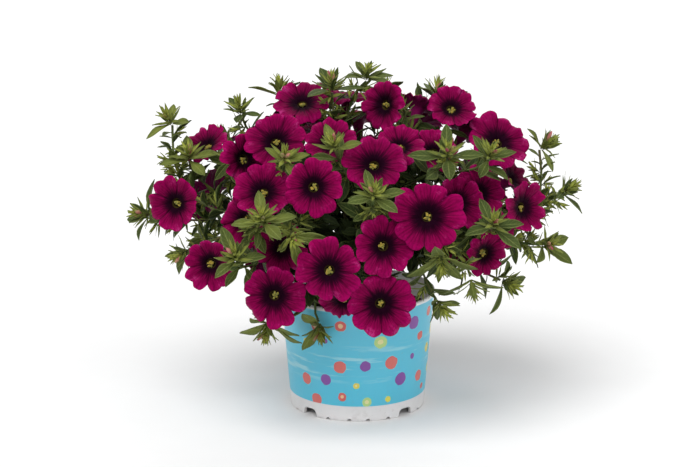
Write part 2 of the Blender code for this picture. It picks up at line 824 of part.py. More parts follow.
def blades_of(count, longest, rows, seed):
    """The blades round a shoot's tip: broad ones that lie out, and slim upright ones between."""
    draw = random.Random(seed)
    blades = []
    for k in range(count):
        if k % 2:
            length = longest * draw.uniform(*SLIM_LENGTHS)
            spread, droop = draw.uniform(*SLIM_SPREADS), 0
            blades.append((length, length * SLIM_WIDTH, spread, droop, SLIM_ROWS))
        else:
            length = longest * draw.uniform(*BROAD_LENGTHS)
            spread, droop = draw.uniform(*BROAD_SPREADS), draw.uniform(*BROAD_DROOPS)
            blades.append((length, length * BROAD_WIDTH, spread, droop, rows))
    return blades


def joined(name, solids, finish):
    """One object from overlapping solids: a Boolean union on a collection, applied."""
    first = piece(name, solids[0], finish)
    others = bpy.data.collections.new(name + "_parts")
    bpy.context.scene.collection.children.link(others)
    for number, bm in enumerate(solids[1:]):
        other = piece(f"{name}_part_{number}", bm)
        bpy.context.scene.collection.objects.unlink(other)
        others.objects.link(other)
    modifier = first.modifiers.new("union", "BOOLEAN")
    modifier.operation = "UNION"
    modifier.operand_type = "COLLECTION"
    modifier.collection = others
    modifier.solver = "EXACT"
    bpy.context.view_layer.update()
    evaluated = first.evaluated_get(bpy.context.evaluated_depsgraph_get())
    mesh = bpy.data.meshes.new_from_object(evaluated)
    first.modifiers.clear()
    first.data = mesh
    for other in list(others.objects):
        bpy.data.objects.remove(other)
    bpy.data.collections.remove(others)


def cup_foot(place):
    """Where a bloom's stalk ends and its cup begins, and the way it runs there."""
    way = (place.to_3x3() @ Vector((0, 0, 1))).normalized()
    return place @ Vector((0, 0, -TUBE_LENGTH - GAP - CALYX_DEPTH)), way


def placed_blooms(obstacles):
    """Puts every bloom in its place, or as far behind it as it must be to clear the others."""
    placed = []
    for number, (place, width, rim, backwards) in enumerate(bloom_places()):
        name = f"bloom_{number + 1:02d}"
        for step in range(BLOOM_STEPS):
            moved = Matrix.Translation(backwards * BLOOM_STEP * step) @ place
            foot, way = cup_foot(moved)
            cup = cupped_stalk([foot - way * CALYX_DEPTH, foot], moved, spare=GAP)
            wide = bloom_solid(width, rim, name, GAP)
            wide.transform(moved)
            if obstacles.clear(wide, set()) and obstacles.clear(cup, set()):
                break
        else:
            raise ValueError(f"no room for {name}")
        bm = bloom_solid(width, rim, name)
        bm.transform(moved)
        obstacles.add({name}, bm)
        obstacles.add({"cup of " + name}, cup)
        placed.append((name, moved, bm))
    return placed


def grown_stems(obstacles):
    """The main stems: the points each runs through, and a list with its solid for its branches."""
    lines = []
    solids = []
    for number in range(TOP_STEMS + SIDE_STEMS):
        for swing in STEM_SWINGS:
            line = stem_line(number, swing)
            if obstacles.clear(main_stem(line, GAP), {"soil"}):
                break
        else:
            raise ValueError(f"no room for stem {number}")
        bm = main_stem(line)
        obstacles.add({number}, bm)
        lines.append(line)
        solids.append([bm])
    return lines, solids


def branch_tries(point, lines):
    """Ways to reach a point: from the stems whose ends lie nearest to its direction, first the
    nearest, each from several heights and by straighter and rounder ways."""
    way = dome_offset(point).normalized()
    nearness = [-dome_offset(line[-1]).normalized().dot(way) for line in lines]
    order = sorted(range(len(lines)), key=nearness.__getitem__)
    for stem in order[:STEM_CHOICES]:
        for sideways, share, bend in itertools.product(SIDEWAYS, LEAVING_SHARES, BENDS):
            yield stem, share, bend, sideways


def lone_leaf(seed):
    """A single leaf along a stalk: the share of the way, the side, and the blade."""
    draw = random.Random(seed)
    length = LONE_LEAF * draw.uniform(*LONE_LEAF_LENGTHS)
    spread = draw.uniform(*LONE_LEAF_SPREADS)
    blade = (length, length * BROAD_WIDTH, spread, LONE_LEAF_DROOP, SLIM_ROWS)
    return draw.uniform(*LONE_LEAF_SHARES), draw.randrange(BRANCH_SIDES), blade


class Stalk:
    """A branch that ends in a bloom's cup, or else in a rosette of blades."""

    def __init__(self, name, place, blades=()):
        self.name = name
        self.place = place
        self.blades = blades
        self.leaves = [lone_leaf(name)]
        way = (place.to_3x3() @ Vector((0, 0, 1))).normalized()
        neck = HUB_NECK if blades else TUBE_LENGTH + GAP + CALYX_DEPTH
        self.way = way
        self.foot = place.translation - way * neck

    def solid(self, blades, leaves, spare=0.0):
        if self.blades:
            return rosette_stalk(self.line, self.place, blades, leaves, spare)
        return cupped_stalk(self.line, self.place, leaves, spare)

    def find_route(self, lines, obstacles):
        """Takes the first route that crosses nothing."""
        bare = [None] * len(self.blades)
        for self.stem, share, bend, sideways in branch_tries(self.foot, lines):
            self.line = branch_line(lines[self.stem], share, self.foot, self.way, bend, sideways)
            if crosses_itself(self.solid(bare, ())):
                continue
            if obstacles.clear(self.solid(bare, (), GAP), {self.stem, "cup of " + self.name}):
                obstacles.add({self.stem, "stalk of " + self.name}, self.solid(bare, ()))
                return
        raise ValueError(f"no way to {self.name}")

    def choose(self, wanted, grow, obstacles):
        """Each wanted leaf in order, kept only if it can grow beside those kept before it."""
        own = {"cup of " + self.name, "stalk of " + self.name}
        kept = [None] * len(wanted)
        for k, leaf in enumerate(wanted):
            kept[k] = leaf
            if crosses_itself(grow(kept, 0)) or not obstacles.clear(grow(kept, GAP), own, True):
                kept[k] = None
        return kept

    def grow_leaves(self, obstacles):
        """Drops the blades and leaves that cross something, and returns the solid."""
        self.blades = self.choose(
            self.blades, lambda kept, spare: self.solid(kept, (), spare), obstacles
        )
        self.leaves = self.choose(
            self.leaves, lambda kept, spare: self.solid(self.blades, kept, spare), obstacles
        )
        bm = self.solid(self.blades, self.leaves)
        obstacles.add({self.stem, "stalk of " + self.name}, bm)
        return bm


def main():
    clear_the_scene()
    white = material("white_plastic", WHITE_PLASTIC)
    brown = material("soil", SOIL_BROWN)
    green = material("leaf", LEAF_GREEN)
    purple = material("petal", PETAL_PURPLE)

    obstacles = Obstacles()
    pot = turned(pot_profile(), POT_SIDES)
    soil = turned(soil_profile(), SOIL_SIDES)
    obstacles.add({"pot"}, pot)
    obstacles.add({"soil"}, soil)
    cut(piece("pot", pot, white), "foot_cutters", foot_cutters())
    cut(piece("soil", soil, brown), "stem_holes", soil_cutters())

    blooms = placed_blooms(obstacles)
    lines, solids = grown_stems(obstacles)
    stalks = [Stalk(name, place) for name, place, _ in blooms]
    for number, (end, way, longest, count, rows) in enumerate(shoot_places()):
        name = f"shoot_{number + 1:02d}"
        stalks.append(Stalk(name, facing(end, way), blades_of(count, longest, rows, name)))
    for stalk in stalks:
        stalk.find_route(lines, obstacles)
    for stalk in stalks:
        solids[stalk.stem].append(stalk.grow_leaves(obstacles))
    for name, _, bm in blooms:
        piece(name, bm, purple)
    for number, parts in enumerate(solids):
        joined(f"leafy_stem_{number + 1:02d}", parts, green)


main()
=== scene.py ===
"""The looks of a potted calibrachoa: its blooms, leafy stems, pot and soil, and a plain stage.

It is laid out as an add-on whose sidebar panel has a button for each group of pieces. Placements
are in millimetres until a mesh is finished, and each finished mesh is scaled to metres.
"""

import itertools
import math
import random

import bmesh
import bpy
from mathutils import Matrix, Vector, noise
from mathutils.bvhtree import BVHTree


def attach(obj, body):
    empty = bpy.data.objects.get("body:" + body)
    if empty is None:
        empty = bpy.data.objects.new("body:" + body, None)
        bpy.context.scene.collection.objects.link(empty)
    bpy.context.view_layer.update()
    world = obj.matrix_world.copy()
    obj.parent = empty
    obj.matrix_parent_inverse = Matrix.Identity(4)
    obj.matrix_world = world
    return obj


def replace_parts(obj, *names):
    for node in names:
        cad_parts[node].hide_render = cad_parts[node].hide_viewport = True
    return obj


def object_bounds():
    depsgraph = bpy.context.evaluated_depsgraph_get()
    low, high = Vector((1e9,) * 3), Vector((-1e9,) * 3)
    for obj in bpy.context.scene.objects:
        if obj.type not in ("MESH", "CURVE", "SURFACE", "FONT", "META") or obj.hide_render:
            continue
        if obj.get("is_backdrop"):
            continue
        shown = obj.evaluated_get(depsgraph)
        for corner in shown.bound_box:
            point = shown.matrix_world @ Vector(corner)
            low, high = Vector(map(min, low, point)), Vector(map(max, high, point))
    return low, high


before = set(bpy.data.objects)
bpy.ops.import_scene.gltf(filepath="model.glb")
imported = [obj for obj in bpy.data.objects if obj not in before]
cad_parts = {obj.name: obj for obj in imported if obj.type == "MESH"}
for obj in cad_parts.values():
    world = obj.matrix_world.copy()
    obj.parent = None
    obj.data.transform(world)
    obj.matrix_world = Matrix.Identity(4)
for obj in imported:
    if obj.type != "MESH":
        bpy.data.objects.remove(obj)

bl_info = {
    "name": "Potted calibrachoa",
    "blender": (4, 5, 0),
    "version": (1, 0, 0),
    "location": "3D View > Sidebar > Calibrachoa",
    "description": "Builds the blooms, leafy stems, pot and soil of a potted calibrachoa",
    "category": "Add Mesh",
}

CAD_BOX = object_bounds()
METRES_PER_MM = 0.001
MM_PER_METRE = 1000
GOLDEN_TURN = math.radians(137.5)
MERGE_DISTANCE = 0.001
ROUND_STEPS = 4
ROUND_SHARE = 0.4

# Pot and soil, as in the frame
RIM_RADIUS = 52.5
FOOT_RADIUS = 45.3
POT_HEIGHT = 80.0
WALL = 1.2
RIM_BEAD = 0.6
RIM_BEAD_HEIGHT = 3.2
FLOOR_LIFT = 6.0
PAD_RADIUS = 18.0
FOOT_WIDTH = 2.4
DRAFT = 0.6
ARCH_WIDTH = 15.0
ARCH_TOP = 0.66
ARCH_HEIGHT = 5.4
NICK_HEIGHT = 1.6
NICK_ANGLES = (-26, -7, 9, 27)
DRAIN_RADIUS = 4.0
DRAIN_RING = 31.0
DRAIN_COUNT = 4
CUTTER_SPARE = 6.0
SOIL_TOP = 66.0
SOIL_CROWN = 2.0
SOIL_GAP = 0.4
STEM_HOLE_DEPTH = 9.0

# Front view, and the dome that the middles of the blooms lie on, as in the frame
VIEW_TILT = math.radians(15)
VIEW_DISTANCE = 2000.0
DOME_HEIGHT = 125.0
DOME_WIDE = 122.0
DOME_DEEP = 112.0
DOME_RISE = 85.0
DOME_DROP = 58.0
NEAREST = 170
FARTHEST = -80

# Bloom, as in the frame; a rim has an angle, a share of the radius and a lift for each knot
LOBES = 5
LOBE_TURN = 72
HALF_LOBE = 36
TUBE_LENGTH = 16.0
TUBE_GAP = 0.4
THROAT = 3.8
LIMB_RISE = 2.4
BLOOM_STEP = 2.0
BLOOM_STEPS = 30
LOBE_WAVE = 1.3
RIM = ((-36, 0.80, 0.9), (-19, 1.0, -0.5), (0, 0.94, 0.3), (19, 1.0, -0.5))
PLAIN_RIM = ((-36, 0.80, 0.9), (-17, 1.0, -0.5), (17, 1.0, -0.5))
EYE_FOOT = -8.0
EYE_TOP = -3.0

# Stems and branches, as in the frame
TOP_STEMS = 3
SIDE_STEMS = 9
STEM_RADIUS = 1.5
STEM_END_RADIUS = 1.1
STEM_SIDES = 4
STEM_STEPS = 5
TOP_STEM_RING = 5.0
TOP_STEM_TURN = 30
TOP_STEM_TILT = 58
TOP_STEM_REACH = 0.52
SIDE_STEM_RING = 14.0
SIDE_STEM_TILT = 6
SIDE_STEM_REACH = 0.62
STEM_RISE = 0.75
STEM_BEND = 0.3
STEM_SWINGS = (0, 5, -5, 10, -10, 15, -15)
BRANCH_FOOT_RADIUS = 0.55
BRANCH_RADIUS = 0.85
BRANCH_SIDES = 3
BRANCH_STEPS = 3
STEM_CHOICES = 4
SIDEWAYS = (0, 0.15, -0.15, 0.3, -0.3, 0.5, -0.5)
LEAVING_SHARES = (0.75, 0.62, 0.88, 0.5, 0.97, 0.38)
BENDS = (0.34, 0.2, 0.46)
CALYX_DEPTH = 4.0
SIDE_START = (1, 0.2, 0.1)

# Leaves, as in the frame
LONE_LEAF = 17.0
HUB_RADIUS = 1.5
HUB_NECK = 2.0
NODE_LENGTH = 1.0
BROAD_WIDTH = 0.42
SLIM_WIDTH = 0.34
BROAD_LENGTHS = (0.85, 1.1)
BROAD_SPREADS = (58, 82)
BROAD_DROOPS = (0.05, 0.2)
SLIM_LENGTHS = (0.5, 0.7)
SLIM_SPREADS = (22, 42)
LONE_LEAF_LENGTHS = (0.8, 1.15)
LONE_LEAF_SPREADS = (45, 75)
LONE_LEAF_DROOP = 0.15
LONE_LEAF_SHARES = (0.45, 0.8)

# Front blooms: across, up, sunk below the dome, turn, tilt, width, roll
FRONT_BLOOMS = (
    (46, 133, -4, 4, 14, 48, 10),
    (15, 77, -4, 5, 2, 45, 20),
    (-56, 82, -4, -8, 8, 43, 0),
    (-20, 97, 1, -4, 12, 43, 30),
    (-30, 153, -2, 0, 17, 40, 5),
    (18, 114, 5, 4, 14, 39, 40),
    (11, 169, 0, 0, 40, 41, 15),
    (-65, 150, 0, -6, 42, 42, 25),
    (-57, 184, 2, -4, 38, 42, 35),
    (-78, 171, 0, 30, 14, 35, 10),
    (-101, 99, 0, -14, 6, 35, 12),
    (-119, 137, -6, -22, 10, 38, 50),
    (-105, 178, 2, -50, 48, 36, 20),
    (-38, 206, 0, -6, 60, 39, 5),
    (18, 206, 0, -42, 16, 36, 30),
    (65, 204, 2, 10, 48, 36, 18),
    (96, 179, 0, 20, 46, 44, 40),
    (-20, 189, 8, 4, 44, 36, 0),
    (31, 187, 8, 14, 58, 34, 60),
    (56, 184, 10, 12, 42, 34, 22),
    (43, 207, 4, 150, 52, 32, 0),
    (115, 137, 2, 44, 10, 36, 33),
    (90, 106, 4, 30, -2, 32, 8),
    (103, 119, 10, 52, 2, 34, 55),
    (-89, 133, 16, -26, 8, 38, 15),
    (-61, 110, 18, -8, 10, 36, 45),
    (76, 148, 14, 14, 20, 38, 25),
    (92, 154, 12, 26, 28, 36, 5),
    (112, 158, 6, 66, 34, 34, 62),
    (-11, 68, 6, -12, -34, 30, 12),
    (73, 109, 2, -10, -8, 20, 0),
)
# Rows of blooms round the back: height in degrees, first and last turn, number, width
BACK_BLOOM_ROWS = (
    (62, 130, 250, 3, 40),
    (32, 108, 252, 5, 43),
    (4, 112, 262, 4, 44),
    (-22, 108, 252, 3, 42),
)
BACK_BLOOM_SUNK = (-2, 6)
BACK_BLOOM_WIDTHS = (0.88, 1.05)
BACK_BLOOM_STRAY = 0.25
BACK_BLOOM_LIFT = 0.2
# Front shoots: across, up, sunk, turn, tilt, length of the largest leaf, number of leaves
FRONT_SHOOTS = (
    (-122, 186, -8, -40, 56, 17, 6),
    (-17, 209, -6, -8, 78, 24, 6),
    (6, 216, -6, 14, 72, 18, 7),
    (-78, 195, -4, -24, 66, 16, 5),
    (-109, 163, -8, -8, 58, 20, 7),
    (-49, 167, -5, 10, 52, 15, 5),
    (-15, 174, -7, -16, 52, 19, 6),
    (-61, 129, -9, -8, 52, 22, 7),
    (-141, 129, -2, -66, 18, 21, 7),
    (-118, 105, 2, -58, -14, 22, 6),
    (-80, 104, -5, -10, 46, 22, 6),
    (-61, 58, -1, -18, -52, 25, 7),
    (-26, 58, -2, 4, -46, 22, 6),
    (10, 144, -9, 4, 46, 21, 7),
    (-46, 121, -1, 12, -8, 22, 5),
    (58, 168, -8, 2, 52, 25, 8),
    (86, 167, -6, 12, 52, 19, 6),
    (121, 171, -6, 60, 44, 19, 6),
    (134, 143, -6, 72, 34, 19, 8),
    (87, 125, -7, 10, 50, 22, 7),
    (121, 112, -6, 48, 14, 21, 7),
    (54, 108, -7, 2, -50, 24, 7),
    (98, 88, -2, 56, -12, 22, 6),
    (75, 92, -4, 30, -70, 24, 3),
    (54, 76, -2, 36, -32, 16, 5),
)
# Rows of shoots round the back: height, first and last turn, number, leaf length
BACK_SHOOT_ROWS = (
    (48, 112, 248, 4, 20),
    (18, 100, 250, 4, 21),
    (-10, 96, 264, 4, 20),
)
BACK_SHOOT_LEAVES = 6
BACK_SHOOT_OUT = (4, 9)
BACK_SHOOT_STRAY = 0.2
BACK_SHOOT_LIFT = 0.3

# Finer blooms: the sheet's thickness, its sections as radius and height, and how the lobes vary.
# Names in the plural hold the least and the most of a random draw.
PETAL = 0.5
UNDER_SPARE = 0.9
THROAT_HEIGHT = -1.4
LIMB_FLARE = 0.8
LIMB_ROWS = 9
THROAT_SECTION = ((0, -9.0), (1.1, -8.8), (1.5, -7.0), (2.0, -4.6), (2.8, -2.6))
TUBE_SECTION = (
    (3.8, -4.2),
    (3.1, -7.2),
    (2.6, -10.4),
    (2.1, -13.6),
    (1.7, -15.6),
    (1.2, -16.0),
    (0, -16.0),
)
RUFFLES = ((11, 1.0), (17, 0.7), (26, 0.4))
CREASE = 0.8
CREASE_WIDTH = 5.0
JOIN_GROOVE = 1.0
JOIN_WIDTH = 4.5
PUFF = 0.75
MID_NOTCH = 0.03
NOTCH_HALF = 19
PARTINGS = (-0.03, 0.12)
PARTING_HALF = 12
LOBE_SIZES = (0.88, 1.04)
LOBE_EASE = 14
WAVE_EASE = 17
LOBE_CURLS = (-1.0, 3.4)
CURL_FROM = 0.72
CURL_GAIN = 13
LOBE_TWIST = 1.5

# The eye in a bloom's throat
EYE_LEVEL = -2.2
EYE_SHIFT = 0.7
ANTHERS = 6
ANTHER_RADIUS = 1.15
ANTHER_RING = 1.5
ANTHER_RINGS = (0.35, 1.35)
ANTHER_STRAY = 0.5
ANTHER_HEIGHTS = (-0.9, 0.5)
ANTHER_SWING = 0.7
ANTHER_LEAN = 0.5
ANTHER_LENGTHS = (0.9, 1.35)
ANTHER_WIDTHS = (0.6, 0.85)
ANTHER_DEPTH = 0.8
STYLE_SIDES = 6
STYLE_RADII = (0.5, 0.35)

# Finer leaves: width at the foot, place of the full width, place where it narrows, bluntness
BROAD_OUTLINE = (0.16, 0.58, 0.5, 2.3)
SLIM_OUTLINE = (0.35, 0.4, 0.3, 1.6)
LEAF_GRID = (4, 2)
LARGE_LEAF_GRID = (8, 4)
LARGE_LEAF = 9
LARGE_LEAF_TONE = -0.5
LEAF_FOLDS = (0.1, 0.45)
LEAF_BOWS = (-0.1, 0.14)
LEAF_WAVE = 0.02
LEAF_WAVES = 9
LEAF_THICKNESS = 0.45
LEAF_SLIMMING = 0.86
SHOOT_TONES = (0.05, 0.55)
OLD_TONE = 0.1
TIP_FIT = 0.3

# Finer stalks, and the sepals round a bloom's tube
FINE_STALK_STEPS = 9
FINE_STEM_STEPS = 14
RIM_CLEAR = 2.0
RIM_INSIDE = 4
CUP_SECTION = ((-20.4, 0.85), (-19.2, 1.0), (-18.0, 1.7), (-17.0, 2.3), (-15.6, 2.5))
SEPAL_RING = 2.2
SEPAL_LENGTH = 9.4
SEPAL_LENGTHS = (0.9, 1.1)
SEPAL_WIDTH = 2.5
SEPAL_SPREADS = (14, 24)
SEPAL_DROOP = 0.08
SEPAL_TONE = 0.5

# Crowns of slim leaves, at the tips of the shoots and along the stalks
TIP_LEAVES = 18
TIP_LONGEST = 14.0
TIP_REACH = 0.6
SLIM_SHARES = (0.2, 0.28)
CROWN_STRAY = 0.3
CROWN_LENGTHS = (0.85, 1.1)
CROWN_SHORTER = 0.5
CROWN_SPREAD = 72
CROWN_CLOSING = 64
CROWN_SWING = 8
CROWN_DROOP = 0.12
CROWN_RING = 0.7
CROWN_FOOT = 0.5
CROWN_TONE = 0.4
CROWN_YOUNGER = 0.9
CROWN_TONE_POWER = 0.7
CROWN_TONE_STRAY = 0.1
CROWN_SHADE = 0.6

# Closed buds at the tips
BUDS = 2
BUD_SHARE = 0.5
BUD_LENGTHS = (7, 10)
BUD_LEANS = (0.25, 0.7)
BUD_FEET = (2, 6)
BUD_RADII = (0.5, 0.9, 1.25, 1.3, 0.95, 0.3)

# Leaves and small crowns along the stalks; edge stands for the outer bit of the plant
STEM_SPACING = 0.65
FIRST_LEAF = (0.3, 1)
LEAF_STEPS = (0.7, 1.3)
LAST_LEAF = 0.97
LEAF_SUNK = 0.6
SIDE_LEAF_LENGTHS = (12, 24)
SIDE_LEAF_SPREADS = (42, 82)
SIDE_LEAF_DROOPS = (0, 0.25)
SIDE_LEAF_TONES = (0.0, 0.25)
BROAD_SHARES = (0.3, 0.42)
SIDE_SHOOT_LEANS = (0.4, 1.2)
SIDE_SHOOT_LENGTHS = (9, 13)
SIDE_SHOOT_LEAVES = 8
# where the painted shade on leaves deep inside the plant begins, and how quickly it deepens
SHADED_BELOW = 0.85
SHADE_BAND = 0.25
EDGE_BAND = 0.2
EDGE_SHORTER = 0.3
EDGE_CLOSER = 0.45

# Room that those leaves keep, and how they are made shorter to fit
BLOOM_CLEAR = 1.2
DOME_LIMIT = 1.3
SOIL_CLEAR = 3
POT_CLEAR = 1.5
POT_INSIDE = 7
LEAF_TESTS = (0.3, 0.55, 0.8, 1.0)
ROOM_TRIES = 4
ROOM_SHRINK = 0.8
BOX_TRIES = 6
BOX_SHORTER = 0.85
BOX_SLIMMER = 0.9

# Finer pot and soil
POT_STEPS = 144
POT_ROUND = 0.5
POT_SHARP = math.radians(40)
ARCH_ROUND = 2.2
ARCH_SEGMENTS = 5
NICK_SIDES = 24
DRAIN_SIDES = 32
SOIL_ROWS = 22
SOIL_STEPS = 96
SOIL_LUMPS = ((0.14, 1.6), (0.5, 0.9))
SOIL_EDGE = 0.5
SOIL_SLOPE = 6
CRUMB_EDGE = 2.5
CRUMB_SIZES = (0.4, 1.5)
CRUMB_LIFTS = (-0.4, 0.6)
CRUMB_WIDTHS = (0.5, 0.9)
CRUMB_DEPTHS = (0.5, 1.6)

# Colours of the plant
PETAL_DEEP = (0.08, 0.0003, 0.0195)
PETAL_BRIGHT = (0.29, 0.001, 0.070)
# painted highlight colours: a lighter magenta for the lobe rims, and pink shine patches on them
PETAL_RIM_HIGHLIGHT = (0.40, 0.0018, 0.112)
PETAL_VEIN = (0.050, 0.0003, 0.016)
PETAL_THROAT = (0.0022, 0.0002, 0.0018)
PETAL_SHINE = (0.62, 0.10, 0.36)
PETAL_BACK = (0.17, 0.005, 0.07)
THROAT_LINING = (0.06, 0.05, 0.006)
ANTHER_YELLOW = (0.27, 0.19, 0.010)
ANTHER_GREEN = (0.15, 0.15, 0.012)
POLLEN = (0.50, 0.40, 0.05)
LEAF_OLD = (0.029, 0.049, 0.010)
LEAF_YOUNG = (0.46, 0.50, 0.082)
# dark green for mottling, and for painted shade on the leaves deep inside the plant
LEAF_MOTTLE_AND_SHADE = (0.013, 0.021, 0.006)
LEAF_PALE = (0.25, 0.29, 0.088)
LEAF_HAIR = (0.22, 0.25, 0.10)
STEM_GREEN = (0.085, 0.13, 0.03)
STEM_BROWN = (0.12, 0.085, 0.035)
STEM_HAIR = (0.3, 0.34, 0.16)
BUD_GREEN = (0.16, 0.18, 0.05)
BUD_PINK = (0.50, 0.20, 0.15)
BUD_CRIMSON = (0.30, 0.006, 0.075)
BUD_CREAM = (0.55, 0.36, 0.24)

# The print on the pot: heights and radii in millimetres, and colours
PRINT_FOOT = 10.7
PRINT_TOP = 77.6
PRINT_EDGE = 0.12
INK_EDGE = 0.15
DOTS_ROUND = 17
DOT_ROW = 13.0
DOT_START = 0.35
DOT_STRAY = 0.4
DOT_RADII = (1.9, 4.6)
DOT_BLANKS = 0.3
DOT_WOBBLE = 1.3
HEART_RADIUS = 0.4
HEART_BLANKS = 0.72
DOT_COLOURS = (
    (0.70, 0.13, 0.10),
    (0.78, 0.72, 0.10),
    (0.24, 0.07, 0.36),
    (0.74, 0.16, 0.14),
    (0.50, 0.72, 0.26),
    (0.72, 0.12, 0.10),
    (0.80, 0.66, 0.09),
)
DOT_HEART = (0.92, 0.78, 0.42)
PRINT_LOW = (0.078, 0.55, 0.78)
PRINT_HIGH = (0.11, 0.57, 0.80)
PRINT_PALE = (0.19, 0.63, 0.82)
PRINT_STROKE = (0.50, 0.80, 0.88)

# Colours of the pot's plastic, the soil and the floor
PLASTIC_WHITE = (0.88, 0.86, 0.86)
PLASTIC_SHADE = (0.80, 0.77, 0.77)
PLASTIC_DIRT = (0.30, 0.26, 0.22)
SOIL_DARK = (0.016, 0.010, 0.006)
SOIL_BROWN = (0.065, 0.04, 0.024)
SOIL_FIBRE = (0.15, 0.10, 0.055)
PAPER_DARK = (0.86, 0.86, 0.86)
PAPER_LIGHT = (0.88, 0.88, 0.88)

# Floor, lights and camera: places in metres, the middle of the view in millimetres
FLOOR_HALF = 12
LIT_POINT = (0, 0, 0.12)
KEY_PLACE = (-0.55, -1.0, 1.9)
KEY_ANGLE = math.radians(45)
FILL_PLACE = (1.2, -1.2, 1.3)
BACK_PLACE = (0.4, 1.4, 1.1)
FILL_ANGLE = math.radians(60)
VIEW_ACROSS = -5.1
VIEW_UP = 114.2
SENSOR = 36
CLIP_END = 50


# Places in the frame


def aim(turn, tilt):
    """The way that faces this many degrees to the viewer's right of the front, and upwards."""
    turn, tilt = math.radians(turn), math.radians(tilt)
    level = math.cos(tilt)
    return Vector((math.sin(turn) * level, -math.cos(turn) * level, math.sin(tilt)))


def seen_at(across, up, forward):
    """The point that shows this far across and up in the front view, this far forward."""
    nearer = 1 - forward / VIEW_DISTANCE
    toward = Vector((0, -math.cos(VIEW_TILT), math.sin(VIEW_TILT)))
    upward = Vector((0, math.sin(VIEW_TILT), math.cos(VIEW_TILT)))
    return Vector((across * nearer, 0, 0)) + upward * up * nearer + toward * forward


def dome_axes(point):
    return Vector((DOME_WIDE, DOME_DEEP, DOME_RISE if point.z > DOME_HEIGHT else DOME_DROP))


def dome_offset(point):
    """The point from the middle of the dome, with the dome made a ball of radius 1."""
    axes = dome_axes(point)
    away = point - Vector((0, 0, DOME_HEIGHT))
    return Vector((away.x / axes.x, away.y / axes.y, away.z / axes.z))


def dome_normal(point):
    axes = dome_axes(point)
    away = dome_offset(point)
    return Vector((away.x / axes.x, away.y / axes.y, away.z / axes.z)).normalized()


def dome_point(way):
    """Where the dome lies in this direction from its middle."""
    axes = Vector((DOME_WIDE, DOME_DEEP, DOME_RISE if way.z > 0 else DOME_DROP))
    reach = 1 / Vector((way.x / axes.x, way.y / axes.y, way.z / axes.z)).length
    return Vector((0, 0, DOME_HEIGHT)) + way * reach


def on_dome(across, up):
    """The nearest point of the dome that shows there, or else the one that passes closest to it."""
    nearest, least = None, math.inf
    for forward in range(NEAREST, FARTHEST, -1):
        point = seen_at(across, up, forward)
        level = dome_offset(point).length
        if level <= 1:
            return point
        if level < least:
            nearest, least = point, level
    return nearest


def facing(point, way, roll=0.0):
    """The placement with its own +Z along way, turned about it by roll degrees."""
    turned = way.to_track_quat("Z", "Y").to_matrix().to_4x4()
    return Matrix.Translation(point) @ turned @ Matrix.Rotation(math.radians(roll), 4, "Z")


def round_row(height, first, last, number):
    """Places on the dome, in a row at one height, each with the way out from the dome there."""
    for k in range(number):
        turn = first + (last - first) * (k + 0.5) / number
        point = dome_point(aim(turn, height))
        yield point, dome_normal(point)


def leaning(way, spread, upwards, draw):
    """The way, turned a little at random and a little upwards."""
    stray = Vector([draw.uniform(-spread, spread) for _ in range(3)])
    return (way + stray + Vector((0, 0, upwards))).normalized()


def bloom_places():
    """Each bloom's placement, width and rim, and the way it draws back if it meets another."""
    backwards = seen_at(0, 0, -1)
    for across, up, sunk, turn, tilt, width, roll in FRONT_BLOOMS:
        point = on_dome(across, up)
        point -= dome_normal(point) * sunk
        yield facing(point, aim(turn, tilt), roll), width, RIM, backwards
    draw = random.Random("back blooms")
    for height, first, last, number, width in BACK_BLOOM_ROWS:
        for point, outward in round_row(height, first, last, number):
            point -= outward * draw.uniform(*BACK_BLOOM_SUNK)
            way = leaning(outward, BACK_BLOOM_STRAY, BACK_BLOOM_LIFT, draw)
            place = facing(point, way, draw.uniform(0, LOBE_TURN))
            yield place, width * draw.uniform(*BACK_BLOOM_WIDTHS), PLAIN_RIM, -outward


def shoot_places():
    """Each leafy shoot's tip, the way it points, its largest leaf and its number of leaves."""
    for across, up, sunk, turn, tilt, length, leaves in FRONT_SHOOTS:
        point = on_dome(across, up)
        yield point - dome_normal(point) * sunk, aim(turn, tilt), length, leaves
    draw = random.Random("back shoots")
    for height, first, last, number, length in BACK_SHOOT_ROWS:
        for point, outward in round_row(height, first, last, number):
            way = leaning(outward, BACK_SHOOT_STRAY, BACK_SHOOT_LIFT, draw)
            tip = point + outward * draw.uniform(*BACK_SHOOT_OUT)
            yield tip, way, length, BACK_SHOOT_LEAVES


def stem_turn(number):
    """The way a stem leans, in degrees from the front: the top stems first, then the side stems."""
    if number < TOP_STEMS:
        return 360 * number / TOP_STEMS + TOP_STEM_TURN
    return 360 * (number - TOP_STEMS) / SIDE_STEMS


def stem_foot(number):
    """Where a stem leaves the soil."""
    out = TOP_STEM_RING if number < TOP_STEMS else SIDE_STEM_RING
    return aim(stem_turn(number), 0) * out + Vector((0, 0, SOIL_TOP + SOIL_CROWN))


def curve(start, leave, arrive, end, steps):
    """Points of the cubic curve that leaves start towards leave and reaches end from arrive."""
    points = []
    for k in range(steps + 1):
        t = k / steps
        s = 1 - t
        points.append(start * s**3 + leave * 3 * s * s * t + arrive * 3 * s * t * t + end * t**3)
    return points


def stem_line(number, swing, steps=STEM_STEPS):
    """A main stem: straight up out of its hole, over the rim, and out to its part of the dome."""
    on_top = number < TOP_STEMS
    way = aim(stem_turn(number) + swing, TOP_STEM_TILT if on_top else SIDE_STEM_TILT)
    reach = TOP_STEM_REACH if on_top else SIDE_STEM_REACH
    middle = Vector((0, 0, DOME_HEIGHT))
    end = middle + (dome_point(way) - middle) * reach
    foot = stem_foot(number)
    rise = Vector((0, 0, end.z - foot.z)) * STEM_RISE
    below = foot - Vector((0, 0, STEM_HOLE_DEPTH))
    bend = (end - foot).length * STEM_BEND
    return [below] + curve(foot, foot + rise, end - way * bend, end, steps)


def line_length(line):
    return sum((after - here).length for here, after in zip(line, line[1:]))


def along_line(line, distance):
    """The point this far along the line, and the way the line runs there."""
    for here, after in zip(line, line[1:]):
        span = (after - here).length
        if distance <= span or after is line[-1]:
            way = (after - here) / span
            return here + way * min(distance, span), way
        distance -= span


